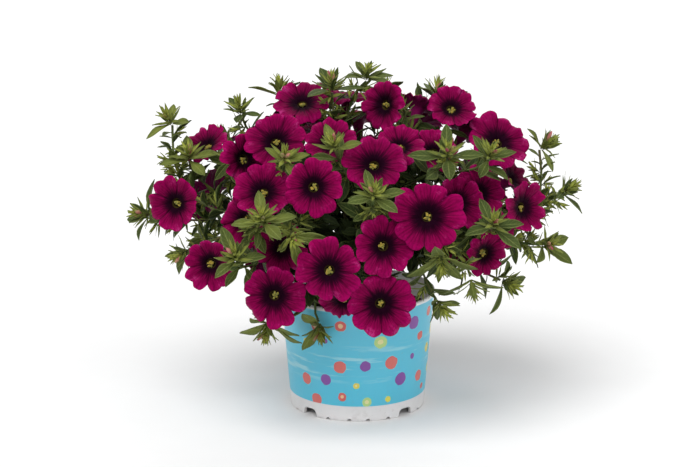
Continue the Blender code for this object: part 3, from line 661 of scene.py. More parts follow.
def branch_line(stem, share, end, way, bend, sideways, steps=BRANCH_STEPS):
    """A branch: out of its stem at this share of its length, and up to the end along way."""
    here, grown = along_line(stem, line_length(stem) * share)
    span = (end - here).length
    side = (end - here).cross(way)
    if side.length > 0:
        side.normalize()
    heading = (grown + (end - here) / span).normalized()
    leave = here + heading * span * bend + side * span * sideways
    arrive = end - way * span * bend + side * span * sideways
    return curve(here, leave, arrive, end, steps)


def branch_tries(point, lines):
    """The ways in which the frame's branches may reach a point, as their choices."""
    way = dome_offset(point).normalized()
    nearness = [-dome_offset(line[-1]).normalized().dot(way) for line in lines]
    order = sorted(range(len(lines)), key=nearness.__getitem__)
    for stem in order[:STEM_CHOICES]:
        for sideways, share, bend in itertools.product(SIDEWAYS, LEAVING_SHARES, BENDS):
            yield stem, share, bend, sideways


def blades_of(count, longest, seed):
    """The blades round a shoot's tip: broad ones that lie out, and slim upright ones between."""
    draw = random.Random(seed)
    blades = []
    for k in range(count):
        if k % 2:
            length = longest * draw.uniform(*SLIM_LENGTHS)
            blades.append((length, length * SLIM_WIDTH, draw.uniform(*SLIM_SPREADS), 0))
        else:
            length = longest * draw.uniform(*BROAD_LENGTHS)
            spread, droop = draw.uniform(*BROAD_SPREADS), draw.uniform(*BROAD_DROOPS)
            blades.append((length, length * BROAD_WIDTH, spread, droop))
    return blades


def lone_leaf(seed):
    """A single leaf along a stalk: the share of the way, the side, and the blade."""
    draw = random.Random(seed)
    length = LONE_LEAF * draw.uniform(*LONE_LEAF_LENGTHS)
    spread = draw.uniform(*LONE_LEAF_SPREADS)
    blade = (length, length * BROAD_WIDTH, spread, LONE_LEAF_DROOP)
    return draw.uniform(*LONE_LEAF_SHARES), draw.randrange(BRANCH_SIDES), blade


# Reading the frame


def surface(node):
    """The surface of one of the frame's nodes, in millimetres."""
    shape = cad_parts[node]
    bm = bmesh.new()
    bm.from_mesh(shape.data)
    bm.transform(Matrix.Scale(MM_PER_METRE, 4) @ shape.matrix_world)
    tree = BVHTree.FromBMesh(bm)
    bm.free()
    return tree


def distance_to(tree, point):
    return tree.find_nearest(point)[3]


def off_the_middle(tree, line, first, last, sides):
    """How badly the points of a line fit down the middle of a tapering stalk with flat sides."""
    misfit = 0
    for k, point in enumerate(line[1:-1], 1):
        radius = first + (last - first) * k / (len(line) - 1)
        misfit += abs(distance_to(tree, point) - radius * math.cos(math.pi / sides))
    return misfit


def settled_blooms():
    """Each bloom as the frame has it: its name, placement, width and rim."""
    for number, (place, width, rim, backwards) in enumerate(bloom_places()):
        name = f"bloom_{number + 1:02d}"
        tree = surface(name)

        def misfit(step):
            moved = Matrix.Translation(backwards * BLOOM_STEP * step) @ place
            eye, foot = moved @ Vector((0, 0, EYE_TOP)), moved @ Vector((0, 0, -TUBE_LENGTH))
            return distance_to(tree, eye) + distance_to(tree, foot)

        step = min(range(BLOOM_STEPS), key=misfit)
        yield name, Matrix.Translation(backwards * BLOOM_STEP * step) @ place, width, rim


class Blade:
    """Where one leaf blade grows: the middle of its base, its three axes, and its sizes."""

    def __init__(self, base, outward, axis, blade, tone):
        self.base = base
        self.length, self.width, spread, self.droop = blade
        spread = math.radians(spread)
        self.side = axis.cross(outward)
        self.out = outward * math.sin(spread) + axis * math.cos(spread)
        self.normal = self.out.cross(self.side)
        self.tone = tone

    def at(self, along, across=0.0, lift=0.0):
        """A point at this share of the length, this far to the side and above."""
        drop = self.droop * self.length * along**2
        middle = self.base + self.out * self.length * along - self.normal * drop
        return middle + self.side * across + self.normal * lift


def rosette_blades(place, blades, tone):
    """The blades round the hub at a shoot's tip."""
    turned = place.to_3x3()
    step = math.tau / len(blades)
    for k, blade in enumerate(blades):
        outward = Vector((math.cos(step * k), math.sin(step * k), 0))
        base = place @ (outward * HUB_RADIUS * math.cos(step / 2))
        yield Blade(base, turned @ outward, turned @ Vector((0, 0, 1)), blade, tone)


def blade_on(line, share, way_round, blade, tone):
    """The blade of a single leaf on one side of a three-sided stalk."""
    length = line_length(line)
    stops = [line_length(line[: k + 1]) for k in range(len(line))]
    stops += [length * share, length * share + NODE_LENGTH]
    side = Vector(SIDE_START)
    for distance in sorted(stops):
        point, along = along_line(line, distance)
        side = (side - along * side.dot(along)).normalized()
        if distance == stops[-1]:
            break
    turn = math.tau * (way_round % BRANCH_SIDES + 0.5) / BRANCH_SIDES
    outward = side * math.cos(turn) + along.cross(side) * math.sin(turn)
    radius = BRANCH_FOOT_RADIUS + (BRANCH_RADIUS - BRANCH_FOOT_RADIUS) * distance / length
    base = point - along * NODE_LENGTH / 2 + outward * radius * math.cos(math.pi / BRANCH_SIDES)
    return Blade(base, outward, along, blade, tone)


class Stalk:
    """A branch that ends in a bloom's cup, or else in a rosette of blades."""

    def __init__(self, name, place, blades=()):
        self.name = name
        self.place = place
        self.way = (place.to_3x3() @ Vector((0, 0, 1))).normalized()
        neck = HUB_NECK if blades else TUBE_LENGTH + TUBE_GAP + CALYX_DEPTH
        self.foot = place.translation - self.way * neck
        self.blades = blades

    def settle(self, lines, trees):
        """Takes the route that the frame has, and the blades that it kept."""

        def misfit(choice):
            stem, share, bend, sideways = choice
            line = branch_line(lines[stem], share, self.foot, self.way, bend, sideways)
            radii = (BRANCH_FOOT_RADIUS, BRANCH_RADIUS)
            return off_the_middle(trees[stem], line, *radii, BRANCH_SIDES)

        choice = min(branch_tries(self.foot, lines), key=misfit)
        self.stem, share, bend, sideways = choice
        ends = (share, self.foot, self.way, bend, sideways)
        coarse = branch_line(lines[self.stem], *ends)
        self.line = branch_line(lines[self.stem], *ends, steps=FINE_STALK_STEPS)
        tone = random.Random(self.name).uniform(*SHOOT_TONES)
        wanted = list(rosette_blades(self.place, self.blades, tone)) if self.blades else []
        wanted.append(blade_on(coarse, *lone_leaf(self.name), OLD_TONE))
        tree = trees[self.stem]
        self.leaves = [blade for blade in wanted if distance_to(tree, blade.at(1)) < TIP_FIT]


def settled_stems(blooms):
    """The lines of the main stems, and each stalk, as the frame has them."""
    trees = [surface(f"leafy_stem_{n + 1:02d}") for n in range(TOP_STEMS + SIDE_STEMS)]
    lines = []
    fine_lines = []
    for number, tree in enumerate(trees):

        def misfit(swing):
            line = stem_line(number, swing)
            return off_the_middle(tree, line, STEM_RADIUS, STEM_END_RADIUS, STEM_SIDES)

        swing = min(STEM_SWINGS, key=misfit)
        lines.append(stem_line(number, swing))
        fine_lines.append(stem_line(number, swing, FINE_STEM_STEPS))
    stalks = [Stalk(name, place) for name, place, _, _ in blooms]
    for number, (end, way, longest, count) in enumerate(shoot_places()):
        name = f"shoot_{number + 1:02d}"
        stalks.append(Stalk(name, facing(end, way), blades_of(count, longest, name)))
    for stalk in stalks:
        stalk.settle(lines, trees)
    return fine_lines, stalks


# Fine meshes


def put(bm, name, slot, *looks):
    """The object that a bmesh in millimetres makes: in metres, smooth, and riding on the frame."""
    bmesh.ops.recalc_face_normals(bm, faces=bm.faces)
    bm.transform(Matrix.Scale(METRES_PER_MM, 4))
    mesh = bpy.data.meshes.new(name)
    bm.to_mesh(mesh)
    bm.free()
    for look in looks:
        mesh.materials.append(look)
    mesh.shade_smooth()
    made = bpy.data.objects.new(name, mesh)
    bpy.context.scene.collection.objects.link(made)
    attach(made, "root")
    return made


def spun(profile, steps, layer=None):
    """A profile of radius, height and a mark, spun once round Z. The marks go to the layer."""
    bm = bmesh.new()
    marks = bm.verts.layers.float_vector.new(layer) if layer else None
    points = []
    for radius, height, *mark in profile:
        points.append(bm.verts.new((radius, 0, height)))
        if layer:
            points[-1][marks] = mark
    edges = [bm.edges.new(pair) for pair in zip(points, points[1:])]
    bmesh.ops.spin(
        bm,
        geom=points + edges,
        cent=(0, 0, 0),
        axis=(0, 0, 1),
        angle=math.tau,
        steps=steps,
        use_merge=True,
    )
    bmesh.ops.remove_doubles(bm, verts=bm.verts, dist=MERGE_DISTANCE)
    return bm


def rounded(profile, size):
    """The profile with each corner cut to a small round, at most this far along its sides."""
    points = [profile[0]]
    for before, corner, after in zip(profile, profile[1:], profile[2:]):
        here = Vector(corner)
        back, ahead = Vector(before) - here, Vector(after) - here
        reach = min(size, back.length * ROUND_SHARE, ahead.length * ROUND_SHARE)
        start, end = here + back.normalized() * reach, here + ahead.normalized() * reach
        for k in range(ROUND_STEPS + 1):
            t = k / ROUND_STEPS
            points.append(tuple(start.lerp(here, t).lerp(here.lerp(end, t), t)))
    return points + [profile[-1]]


def eased(share):
    """The share, kept from 0 to 1, with a slow start and end."""
    share = min(max(share, 0.0), 1.0)
    return share * share * (3 - 2 * share)


def swell(distance, width):
    """1 at no distance, falling to nothing over a few widths."""
    return math.exp(-((distance / width) ** 2))


def give_look(bm, first, look):
    """Gives the faces from this one on the look with this number."""
    bm.faces.ensure_lookup_table()
    for face in bm.faces[first:]:
        face.material_index = look


def final_mesh(shape):
    """A mesh of the object as its curve or modifiers leave it."""
    bpy.context.view_layer.update()
    depsgraph = bpy.context.evaluated_depsgraph_get()
    return bpy.data.meshes.new_from_object(shape.evaluated_get(depsgraph))


def joined_into(bm, other):
    """Adds the other bmesh to this one, and frees it."""
    mesh = bpy.data.meshes.new("part")
    other.to_mesh(mesh)
    other.free()
    bm.from_mesh(mesh)
    bpy.data.meshes.remove(mesh)


# Blooms


def round_rim(angle, rim):
    """The share of the radius and the lift of a lobe's rim this many degrees from its middle."""
    knots = rim + ((rim[0][0] + LOBE_TURN, *rim[0][1:]),)
    for before, after in zip(knots, knots[1:]):
        if angle <= after[0]:
            break
    share = (angle - before[0]) / (after[0] - before[0])
    share = 1 - (1 - share) ** 2 if after[1] >= before[1] else share**2
    return tuple(one + (other - one) * share for one, other in zip(before[1:], after[1:]))


def limb_height(share):
    """The height of the middle of the sheet this share of the way out over the lobes."""
    return THROAT_HEIGHT + (LIMB_RISE - THROAT_HEIGHT) * share**LIMB_FLARE


def bloom_section(radius):
    """Half a section of a bloom, from the throat over the rim and down the tube.

    Each point has a radius, a height and a mark: its share of the way out over the lobes, then -1
    in the throat, 0 on the face and 1 on the back, then 0.
    """
    points = [(out, height, 0, -1, 0) for out, height in THROAT_SECTION]
    shares = [k / LIMB_ROWS for k in range(LIMB_ROWS + 1)]
    for share in shares:
        out = THROAT + (radius - THROAT) * share
        points.append((out, limb_height(share) + PETAL / 2, share, 0, 0))
    points.append((radius + PETAL / 3, limb_height(1), 1, 0.5, 0))
    for share in reversed(shares):
        out = THROAT + (radius - THROAT) * share + UNDER_SPARE * (1 - share)
        points.append((out, limb_height(share) - PETAL / 2, share, 1, 0))
    return points + [(out, height, 0, 1, 0) for out, height in TUBE_SECTION]


class Lobes:
    """How the lobes of one bloom wave, curl and twist, each a little unlike the next."""

    def __init__(self, rim, ruffle, draw):
        self.rim = rim
        self.ruffle = ruffle
        self.waves = [draw.uniform(-LOBE_WAVE, LOBE_WAVE) for _ in range(LOBES)]
        self.phases = [draw.uniform(0, math.tau) for _ in RUFFLES]
        self.sizes = [draw.uniform(*LOBE_SIZES) for _ in range(LOBES)]
        self.curls = [draw.uniform(*LOBE_CURLS) for _ in range(LOBES)]
        self.twists = [draw.uniform(-LOBE_TWIST, LOBE_TWIST) for _ in range(LOBES)]
        self.parting = draw.uniform(*PARTINGS)

    def at(self, turn, share):
        """The scale across and the lift, this many degrees round and this share of the way out."""
        lobe = int((turn + HALF_LOBE) // LOBE_TURN) % LOBES
        angle = (turn + HALF_LOBE) % LOBE_TURN - HALF_LOBE
        from_join = HALF_LOBE - abs(angle)
        inside = eased(from_join / LOBE_EASE)
        edge, lift = round_rim(angle, self.rim)
        lift += self.waves[lobe] * eased(from_join / WAVE_EASE)
        lift *= share**1.5
        for (count, strength), phase in zip(RUFFLES, self.phases):
            wave = math.sin(math.radians(turn) * count + phase)
            lift += self.ruffle * strength * wave * share**3
        lift -= CREASE * swell(angle, CREASE_WIDTH) * eased(share * 2)
        lift -= JOIN_GROOVE * swell(from_join, JOIN_WIDTH) * eased(share * 2)
        puffed = math.sin(math.radians(abs(angle) * (180 / HALF_LOBE))) ** 2
        lift += PUFF * puffed * eased(share * 1.5)
        lift -= self.curls[lobe] * inside * max(share - CURL_FROM, 0) ** 2 * CURL_GAIN
        twisted = math.sin(math.radians(angle * (90 / HALF_LOBE)))
        lift += self.twists[lobe] * twisted * share**2
        edge -= MID_NOTCH * max(1 - abs(angle) / NOTCH_HALF, 0) ** 2
        edge -= self.parting * max(1 - from_join / PARTING_HALF, 0) ** 2
        scale = 1 - (1 - edge) * share**2
        scale *= 1 + (self.sizes[lobe] - 1) * inside * share
        return scale, lift


def bloom_mesh(width, rim, seed, settings):
    """One bloom facing +Z, with ruffled lobes, folds along their middles and joins, and its eye."""
    draw = random.Random(seed)
    lobes = Lobes(rim, settings.ruffle * MM_PER_METRE, draw)
    radius = width / 2
    tone = draw.random()
    bm = spun(bloom_section(radius), settings.steps, "petal")
    marks = bm.verts.layers.float_vector["petal"]
    tones = bm.verts.layers.float.new("tone")
    for vertex in bm.verts:
        x, y, height = vertex.co
        share, outside, _ = vertex[marks]
        scale, lift = lobes.at(math.degrees(math.atan2(y, x)) % 360, share)
        vertex.co = (x * scale, y * scale, height + lift)
        vertex[marks] = (x / radius, y / radius, outside)
        vertex[tones] = tone
    add_eye(bm, draw)
    return bm


def add_eye(bm, draw):
    """The anthers crowded in the throat, round the stigma, and the style below them."""
    before = len(bm.faces)
    shift = Vector([draw.uniform(-EYE_SHIFT, EYE_SHIFT) for _ in range(2)] + [0])
    for k in range(ANTHERS + 1):
        turn = math.tau * k / ANTHERS + draw.uniform(-ANTHER_STRAY, ANTHER_STRAY)
        out = 0 if k == ANTHERS else ANTHER_RING * draw.uniform(*ANTHER_RINGS)
        height = EYE_LEVEL + draw.uniform(*ANTHER_HEIGHTS)
        spot = Vector((out * math.cos(turn), out * math.sin(turn), height))
        place = Matrix.Translation(shift + spot)
        swing = turn + draw.uniform(-ANTHER_SWING, ANTHER_SWING)
        place @= Matrix.Rotation(swing, 4, "Z")
        place @= Matrix.Rotation(draw.uniform(-ANTHER_LEAN, ANTHER_LEAN), 4, "Y")
        long, wide = draw.uniform(*ANTHER_LENGTHS), draw.uniform(*ANTHER_WIDTHS)
        place @= Matrix.Diagonal((long, wide, ANTHER_DEPTH, 1))
        bmesh.ops.create_icosphere(bm, subdivisions=2, radius=ANTHER_RADIUS, matrix=place)
    bmesh.ops.create_cone(
        bm,
        cap_ends=True,
        segments=STYLE_SIDES,
        radius1=STYLE_RADII[0],
        radius2=STYLE_RADII[1],
        depth=EYE_LEVEL - EYE_FOOT,
        matrix=Matrix.Translation((0, 0, (EYE_LEVEL + EYE_FOOT) / 2)),
    )
    give_look(bm, before, 1)


# Leaves, stalks and buds


def half_width(along, foot, widest, narrows, bluntness):
    """Half a leaf's width at this share of its length, as a share of its full width."""
    swelling = foot + (1 - foot) * eased(along / widest)
    closing = max((along - narrows) / (1 - narrows), 0) ** bluntness
    return 0.5 * swelling * (1 - closing)


def broad_half(along):
    """Half the width of a spoon-shaped leaf."""
    return half_width(along, *BROAD_OUTLINE)


def slim_half(along):
    """Half the width of a slim, pointed leaf."""
    return half_width(along, *SLIM_OUTLINE)


def leaf_mesh(blade, half_at):
    """A leaf blade: cupped along its midrib, a little waved, thin, and pointed."""
    large = half_at is broad_half and blade.length > LARGE_LEAF and blade.tone > LARGE_LEAF_TONE
    rows, columns = LARGE_LEAF_GRID if large else LEAF_GRID
    bm = bmesh.new()
    marks = bm.verts.layers.float_vector.new("blade")
    draw = random.Random(round(blade.base.x * 100) + round(blade.base.z * 10))
    phase = draw.uniform(0, math.tau)
    fold = draw.uniform(*LEAF_FOLDS)
    bow = draw.uniform(*LEAF_BOWS)
    bmesh.ops.create_grid(bm, x_segments=rows, y_segments=columns, size=0.5)
    for vertex in bm.verts:
        along, across = vertex.co.x + 0.5, vertex.co.y * 2
        half = blade.width * half_at(along)
        wave = math.sin(along * LEAF_WAVES + phase)
        lift = half * fold * across**2
        lift += blade.length * LEAF_WAVE * wave * across**2 * along
        lift += blade.length * bow * (along - along**2)
        vertex.co = blade.at(along, half * across, lift)
        vertex[marks] = (along, across, blade.tone)
    bmesh.ops.solidify(bm, geom=bm.faces[:], thickness=LEAF_THICKNESS)
    return bm


def leaves_mesh(leaves):
    """All the leaves of a stem in one bmesh."""
    together = bmesh.new()
    together.verts.layers.float_vector.new("blade")
    mesh = bpy.data.meshes.new("leaf")
    for blade, half_at in leaves:
        bm = leaf_mesh(blade, half_at)
        bm.to_mesh(mesh)
        bm.free()
        together.from_mesh(mesh)
    bpy.data.meshes.remove(mesh)
    return together


def tubes(bm, paths, look):
    """Adds round tapering stalks in one look: each path is a list of points with a radius."""
    data = bpy.data.curves.new("stalks", "CURVE")
    data.dimensions = "3D"
    data.bevel_depth = 1
    data.bevel_resolution = 2
    data.use_fill_caps = True
    data.twist_mode = "MINIMUM"
    for path in paths:
        spline = data.splines.new("POLY")
        spline.points.add(len(path) - 1)
        for point, (place, radius) in zip(spline.points, path):
            point.co = (*place, 1)
            point.radius = radius
    helper = bpy.data.objects.new("stalks", data)
    bpy.context.scene.collection.objects.link(helper)
    made = final_mesh(helper)
    before = len(bm.faces)
    bm.from_mesh(made)
    give_look(bm, before, look)
    bpy.data.objects.remove(helper)
    bpy.data.curves.remove(data)
    bpy.data.meshes.remove(made)


def over_the_rim(line):
    """The line of a stalk, led round the outside of the pot's rim where it passes close to it."""
    led = []
    reach = RIM_RADIUS + RIM_CLEAR
    for point in line:
        out = math.hypot(point.x, point.y)
        if point.z < POT_HEIGHT + RIM_CLEAR and RIM_RADIUS - RIM_INSIDE < out < reach:
            wider = reach / out
            point = Vector((point.x * wider, point.y * wider, point.z))
        led.append(point)
    return led


def tapering(line, first, last):
    """The points of a line, each with its radius."""
    return [(point, first + (last - first) * k / (len(line) - 1)) for k, point in enumerate(line)]


def cup_path(stalk):
    """The widening end of a flower stalk under its bloom."""
    return [(stalk.place @ Vector((0, 0, height)), radius) for height, radius in CUP_SECTION]


def sepals(stalk):
    """The five narrow sepals round the foot of a bloom's tube."""
    turned = stalk.place.to_3x3()
    axis = turned @ Vector((0, 0, 1))
    draw = random.Random(stalk.name + " sepals")
    for k in range(LOBES):
        turn = math.radians(LOBE_TURN * k + HALF_LOBE)
        outward = Vector((math.cos(turn), math.sin(turn), 0))
        base = stalk.place @ (outward * SEPAL_RING + Vector((0, 0, -TUBE_LENGTH - 1)))
        length = SEPAL_LENGTH * draw.uniform(*SEPAL_LENGTHS)
        blade = (length, SEPAL_WIDTH, draw.uniform(*SEPAL_SPREADS), SEPAL_DROOP)
        yield Blade(base, turned @ outward, axis, blade, SEPAL_TONE)


def across_from(axis, turn):
    """The way at right angles to the axis, turned round it by this angle."""
    side = axis.orthogonal().normalized()
    return side * math.cos(turn) + axis.cross(side) * math.sin(turn)


def crown(hub, axis, longest, count, room, draw):
    """Slim leaves round an axis, the lower ones long and spread, the upper ones short and close."""
    for k in range(count):
        share = k / (count - 1)
        outward = across_from(axis, GOLDEN_TURN * k + draw.uniform(-CROWN_STRAY, CROWN_STRAY))
        length = longest * (1 - CROWN_SHORTER * share) * draw.uniform(*CROWN_LENGTHS)
        spread = CROWN_SPREAD - CROWN_CLOSING * share + draw.uniform(-CROWN_SWING, CROWN_SWING)
        width = length * draw.uniform(*SLIM_SHARES)
        blade = (length, width, spread, draw.uniform(-CROWN_DROOP, CROWN_DROOP))
        base = hub + outward * CROWN_RING * (1 - share)
        base += axis * (CROWN_FOOT + longest * TIP_REACH * share)
        tone = CROWN_TONE + CROWN_YOUNGER * share**CROWN_TONE_POWER
        tone += draw.uniform(-CROWN_TONE_STRAY, CROWN_TONE_STRAY)
        # painted shade: crowns deep inside the plant get a darker tone
        tone += painted_shade_tone(hub) * CROWN_SHADE
        yield room.fitted(Blade(base, outward, axis, blade, tone))


def tip_leaves(stalk, room):
    """The slim young leaves that stand close together along the last bit of a shoot."""
    draw = random.Random(stalk.name + " tip")
    longest = max(length for length, _, _, _ in stalk.blades)
    hub = stalk.place.translation
    yield from crown(hub, stalk.way, min(longest, TIP_LONGEST), TIP_LEAVES, room, draw)


def buds(stalk):
    """Closed flower buds among the young leaves of a shoot's tip."""
    draw = random.Random(stalk.name + " buds")
    for _ in range(BUDS):
        outward = across_from(stalk.way, draw.uniform(0, math.tau))
        way = (stalk.way + outward * draw.uniform(*BUD_LEANS)).normalized()
        foot = stalk.place.translation + stalk.way * draw.uniform(*BUD_FEET)
        step = draw.uniform(*BUD_LENGTHS) / len(BUD_RADII)
        if draw.random() < BUD_SHARE:
            yield [(foot + way * step * (k + 1), radius) for k, radius in enumerate(BUD_RADII)]


def painted_shade_tone(point):
    """Painted shade for a leaf's colour: 0 near the outside of the plant, and the lower the deeper
    a leaf grows in its shade.
    """
    return min((dome_offset(point).length - SHADED_BELOW) / SHADE_BAND, 0.0)


def side_leaves(line, radius, settings, room, draw):
    """Broad blades and crowns of slim ones along a stalk, each turned on by the golden angle."""
    length = line_length(line)
    spacing = settings.spacing * MM_PER_METRE * (STEM_SPACING if radius == STEM_RADIUS else 1)
    distance = spacing * draw.uniform(*FIRST_LEAF)
    turn = draw.uniform(0, math.tau)
    while distance < length * LAST_LEAF:
        point, along = along_line(line, distance)
        outward = across_from(along, turn)
        base = point + outward * radius * LEAF_SUNK
        edge = eased((dome_offset(base).length - SHADED_BELOW) / EDGE_BAND)
        size = draw.uniform(*SIDE_LEAF_LENGTHS) * (1 - EDGE_SHORTER * edge)
        spread, droop = draw.uniform(*SIDE_LEAF_SPREADS), draw.uniform(*SIDE_LEAF_DROOPS)
        blade = (size, size * draw.uniform(*BROAD_SHARES), spread, droop)
        # painted shade for leaves deep inside the plant, plus a random tone
        tone = painted_shade_tone(base) + draw.uniform(*SIDE_LEAF_TONES)
        yield Blade(base, outward, along, blade, tone), broad_half
        if draw.random() < settings.side_shoots * (1 + edge):
            axis = (outward + along * draw.uniform(*SIDE_SHOOT_LEANS)).normalized()
            small = draw.uniform(*SIDE_SHOOT_LENGTHS)
            for leaf in crown(base, axis, small, SIDE_SHOOT_LEAVES, room, draw):
                yield leaf, slim_half
        distance += spacing * draw.uniform(*LEAF_STEPS) * (1 - EDGE_CLOSER * edge)
        turn += GOLDEN_TURN


class Room:
    """The space that the leaves of the looks have: in the dome, clear of the blooms and the pot."""

    def __init__(self, blooms):
        self.blooms = []
        self.low, self.high = (Vector(corner) * MM_PER_METRE for corner in CAD_BOX)
        for name, place, width, _ in blooms:
            self.blooms.append((place.translation, width / 2 + BLOOM_CLEAR, surface(name)))

    def allows(self, blade):
        """Whether the blade is clear, as it is or after it is made smaller a few times."""
        for _ in range(ROOM_TRIES):
            if all(map(self.free, self.outline(blade))):
                return True
            blade.length *= ROOM_SHRINK
            blade.width *= ROOM_SHRINK
        return False

    def outline(self, blade):
        """Points along the blade's middle and edges."""
        for along in LEAF_TESTS:
            half = blade.width * broad_half(along)
            for across in (-half, 0, half):
                yield blade.at(along, across)

    def fitted(self, blade):
        """The blade, made smaller until its tip is in the box of the solids."""
        for _ in range(BOX_TRIES):
            if self.boxed(blade.at(1)):
                break
            blade.length *= BOX_SHORTER
            blade.width *= BOX_SLIMMER
        return blade

    def boxed(self, point):
        """Whether the point is in the box of the solids."""
        return all(a < x < b for a, x, b in zip(self.low, point, self.high))

    def free(self, point):
        """Whether a leaf may reach this point."""
        if not self.boxed(point):
            return False
        out = math.hypot(point.x, point.y)
        if dome_offset(point).length > DOME_LIMIT or point.z < SOIL_TOP + SOIL_CLEAR:
            return False
        by_the_wall = RIM_RADIUS - POT_INSIDE < out < RIM_RADIUS + POT_CLEAR
        if point.z < POT_HEIGHT + POT_CLEAR and by_the_wall:
            return False
        for middle, reach, tree in self.blooms:
            if (middle - point).length < reach and tree.find_nearest(point, BLOOM_CLEAR)[0]:
                return False
        return True


def leafy_stem(number, line, stalks, room, settings, looks):
    """One main stem with all that grows on it."""
    draw = random.Random(f"side leaves {number}")
    paths = [tapering(line, STEM_RADIUS, STEM_END_RADIUS)]
    closed = []
    extra = list(side_leaves(line[1:], STEM_RADIUS, settings, room, draw))
    leaves = []
    for stalk in stalks:
        paths.append(tapering(over_the_rim(stalk.line), BRANCH_FOOT_RADIUS, BRANCH_RADIUS))
        extra += side_leaves(stalk.line, BRANCH_RADIUS, settings, room, draw)
        for blade in stalk.leaves:
            blade.width *= LEAF_SLIMMING
            leaves.append((blade, broad_half))
        if stalk.blades:
            leaves += [(blade, slim_half) for blade in tip_leaves(stalk, room)]
            hub = stalk.place.translation
            tip = hub + stalk.way * TIP_LONGEST * TIP_REACH
            paths.append([(hub, BRANCH_RADIUS), (tip, BRANCH_RADIUS / 2)])
            closed += [bud for bud in buds(stalk) if room.boxed(bud[-1][0])]
        else:
            paths.append(cup_path(stalk))
            leaves += [(blade, slim_half) for blade in sepals(stalk)]
    leaves += [(blade, half_at) for blade, half_at in extra if room.allows(blade)]
    bm = leaves_mesh(leaves)
    tubes(bm, paths, 1)
    if closed:
        tubes(bm, closed, 2)
    return put(bm, f"fine_leafy_stem_{number + 1:02d}", "leaf", *looks)


# Pot and soil


def pot_outside(height):
    """The radius of the pot's wall at this height."""
    return FOOT_RADIUS + (RIM_RADIUS - RIM_BEAD - FOOT_RADIUS) / POT_HEIGHT * height


def pot_section():
    """The wall, rim, floor and foot from the pot's axis round to it again, with rounded corners."""
    floor_top = FLOOR_LIFT + WALL
    foot_inner = FOOT_RADIUS - FOOT_WIDTH
    corners = (
        (0, 0),
        (PAD_RADIUS - DRAFT, 0),
        (PAD_RADIUS + DRAFT, FLOOR_LIFT),
        (foot_inner + DRAFT, FLOOR_LIFT),
        (foot_inner, 0),
        (FOOT_RADIUS, 0),
        (pot_outside(POT_HEIGHT - RIM_BEAD_HEIGHT), POT_HEIGHT - RIM_BEAD_HEIGHT),
        (RIM_RADIUS, POT_HEIGHT - RIM_BEAD_HEIGHT + RIM_BEAD),
        (RIM_RADIUS, POT_HEIGHT - RIM_BEAD),
        (RIM_RADIUS - RIM_BEAD, POT_HEIGHT),
        (pot_outside(POT_HEIGHT) - WALL, POT_HEIGHT),
        (pot_outside(floor_top) - WALL, floor_top),
        (PAD_RADIUS + DRAFT, floor_top),
        (PAD_RADIUS - DRAFT, WALL),
        (0, WALL),
    )
    return rounded(corners, POT_ROUND)


def block(bm, size, place):
    """Adds a box round the origin, moved to its place."""
    made = bmesh.ops.create_cube(bm, size=1)["verts"]
    bmesh.ops.scale(bm, vec=size, verts=made)
    bmesh.ops.transform(bm, matrix=place, verts=made)


def rod(bm, radius, length, sides, place):
    """Adds a round rod, moved to its place."""
    bmesh.ops.create_cone(
        bm,
        cap_ends=True,
        segments=sides,
        radius1=radius,
        radius2=radius,
        depth=length,
        matrix=place,
    )


def arch_cutter(place, deep):
    """A block that narrows upwards, with its two upper edges rounded."""
    arch = bmesh.new()
    block(arch, (deep, ARCH_WIDTH, ARCH_HEIGHT * 2), place)
    top = [vertex for vertex in arch.verts if vertex.co.z > 0]
    bmesh.ops.scale(arch, vec=(1, ARCH_TOP, 1), verts=top)
    upper = [edge for edge in arch.edges if all(end.co.z > 0 for end in edge.verts)]
    along = [edge for edge in upper if abs(edge.verts[0].co.y - edge.verts[1].co.y) < 0.1]
    bmesh.ops.bevel(
        arch,
        geom=along,
        offset=ARCH_ROUND,
        segments=ARCH_SEGMENTS,
        profile=0.5,
        affect="EDGES",
        material=-1,
    )
    return arch


def foot_cutters():
    """One mesh of all that is cut out of the foot: arches, nicks and drain holes."""
    bm = bmesh.new()
    middle = Matrix.Translation((FOOT_RADIUS - FOOT_WIDTH / 2, 0, 0))
    lying = Matrix.Rotation(math.pi / 2, 4, "Y")
    deep = FOOT_WIDTH + CUTTER_SPARE
    for quarter in range(4):
        arch = arch_cutter(middle, deep)
        arch.transform(Matrix.Rotation(math.radians(45 + 90 * quarter), 4, "Z"))
        joined_into(bm, arch)
        for angle in NICK_ANGLES:
            turn = Matrix.Rotation(math.radians(90 * quarter + angle), 4, "Z")
            rod(bm, NICK_HEIGHT, deep, NICK_SIDES, turn @ middle @ lying)
    for hole in range(DRAIN_COUNT):
        turn = Matrix.Rotation(math.tau * hole / DRAIN_COUNT, 4, "Z")
        place = turn @ Matrix.Translation((DRAIN_RING, 0, FLOOR_LIFT))
        rod(bm, DRAIN_RADIUS, FLOOR_LIFT, DRAIN_SIDES, place)
    return bm


def cut(bm, cutters):
    """The bmesh less its cutters, by a Boolean modifier that is applied."""
    shapes = []
    for name, part in (("body", bm), ("cutters", cutters)):
        mesh = bpy.data.meshes.new(name)
        bmesh.ops.recalc_face_normals(part, faces=part.faces)
        part.to_mesh(mesh)
        part.free()
        shapes.append(bpy.data.objects.new(name, mesh))
        bpy.context.scene.collection.objects.link(shapes[-1])
    modifier = shapes[0].modifiers.new("cut", "BOOLEAN")
    modifier.operation = "DIFFERENCE"
    modifier.object = shapes[1]
    modifier.solver = "EXACT"
    modifier.use_self = True
    made = final_mesh(shapes[0])
    done = bmesh.new()
    done.from_mesh(made)
    bpy.data.meshes.remove(made)
    for shape in shapes:
        bpy.data.objects.remove(shape)
    return done


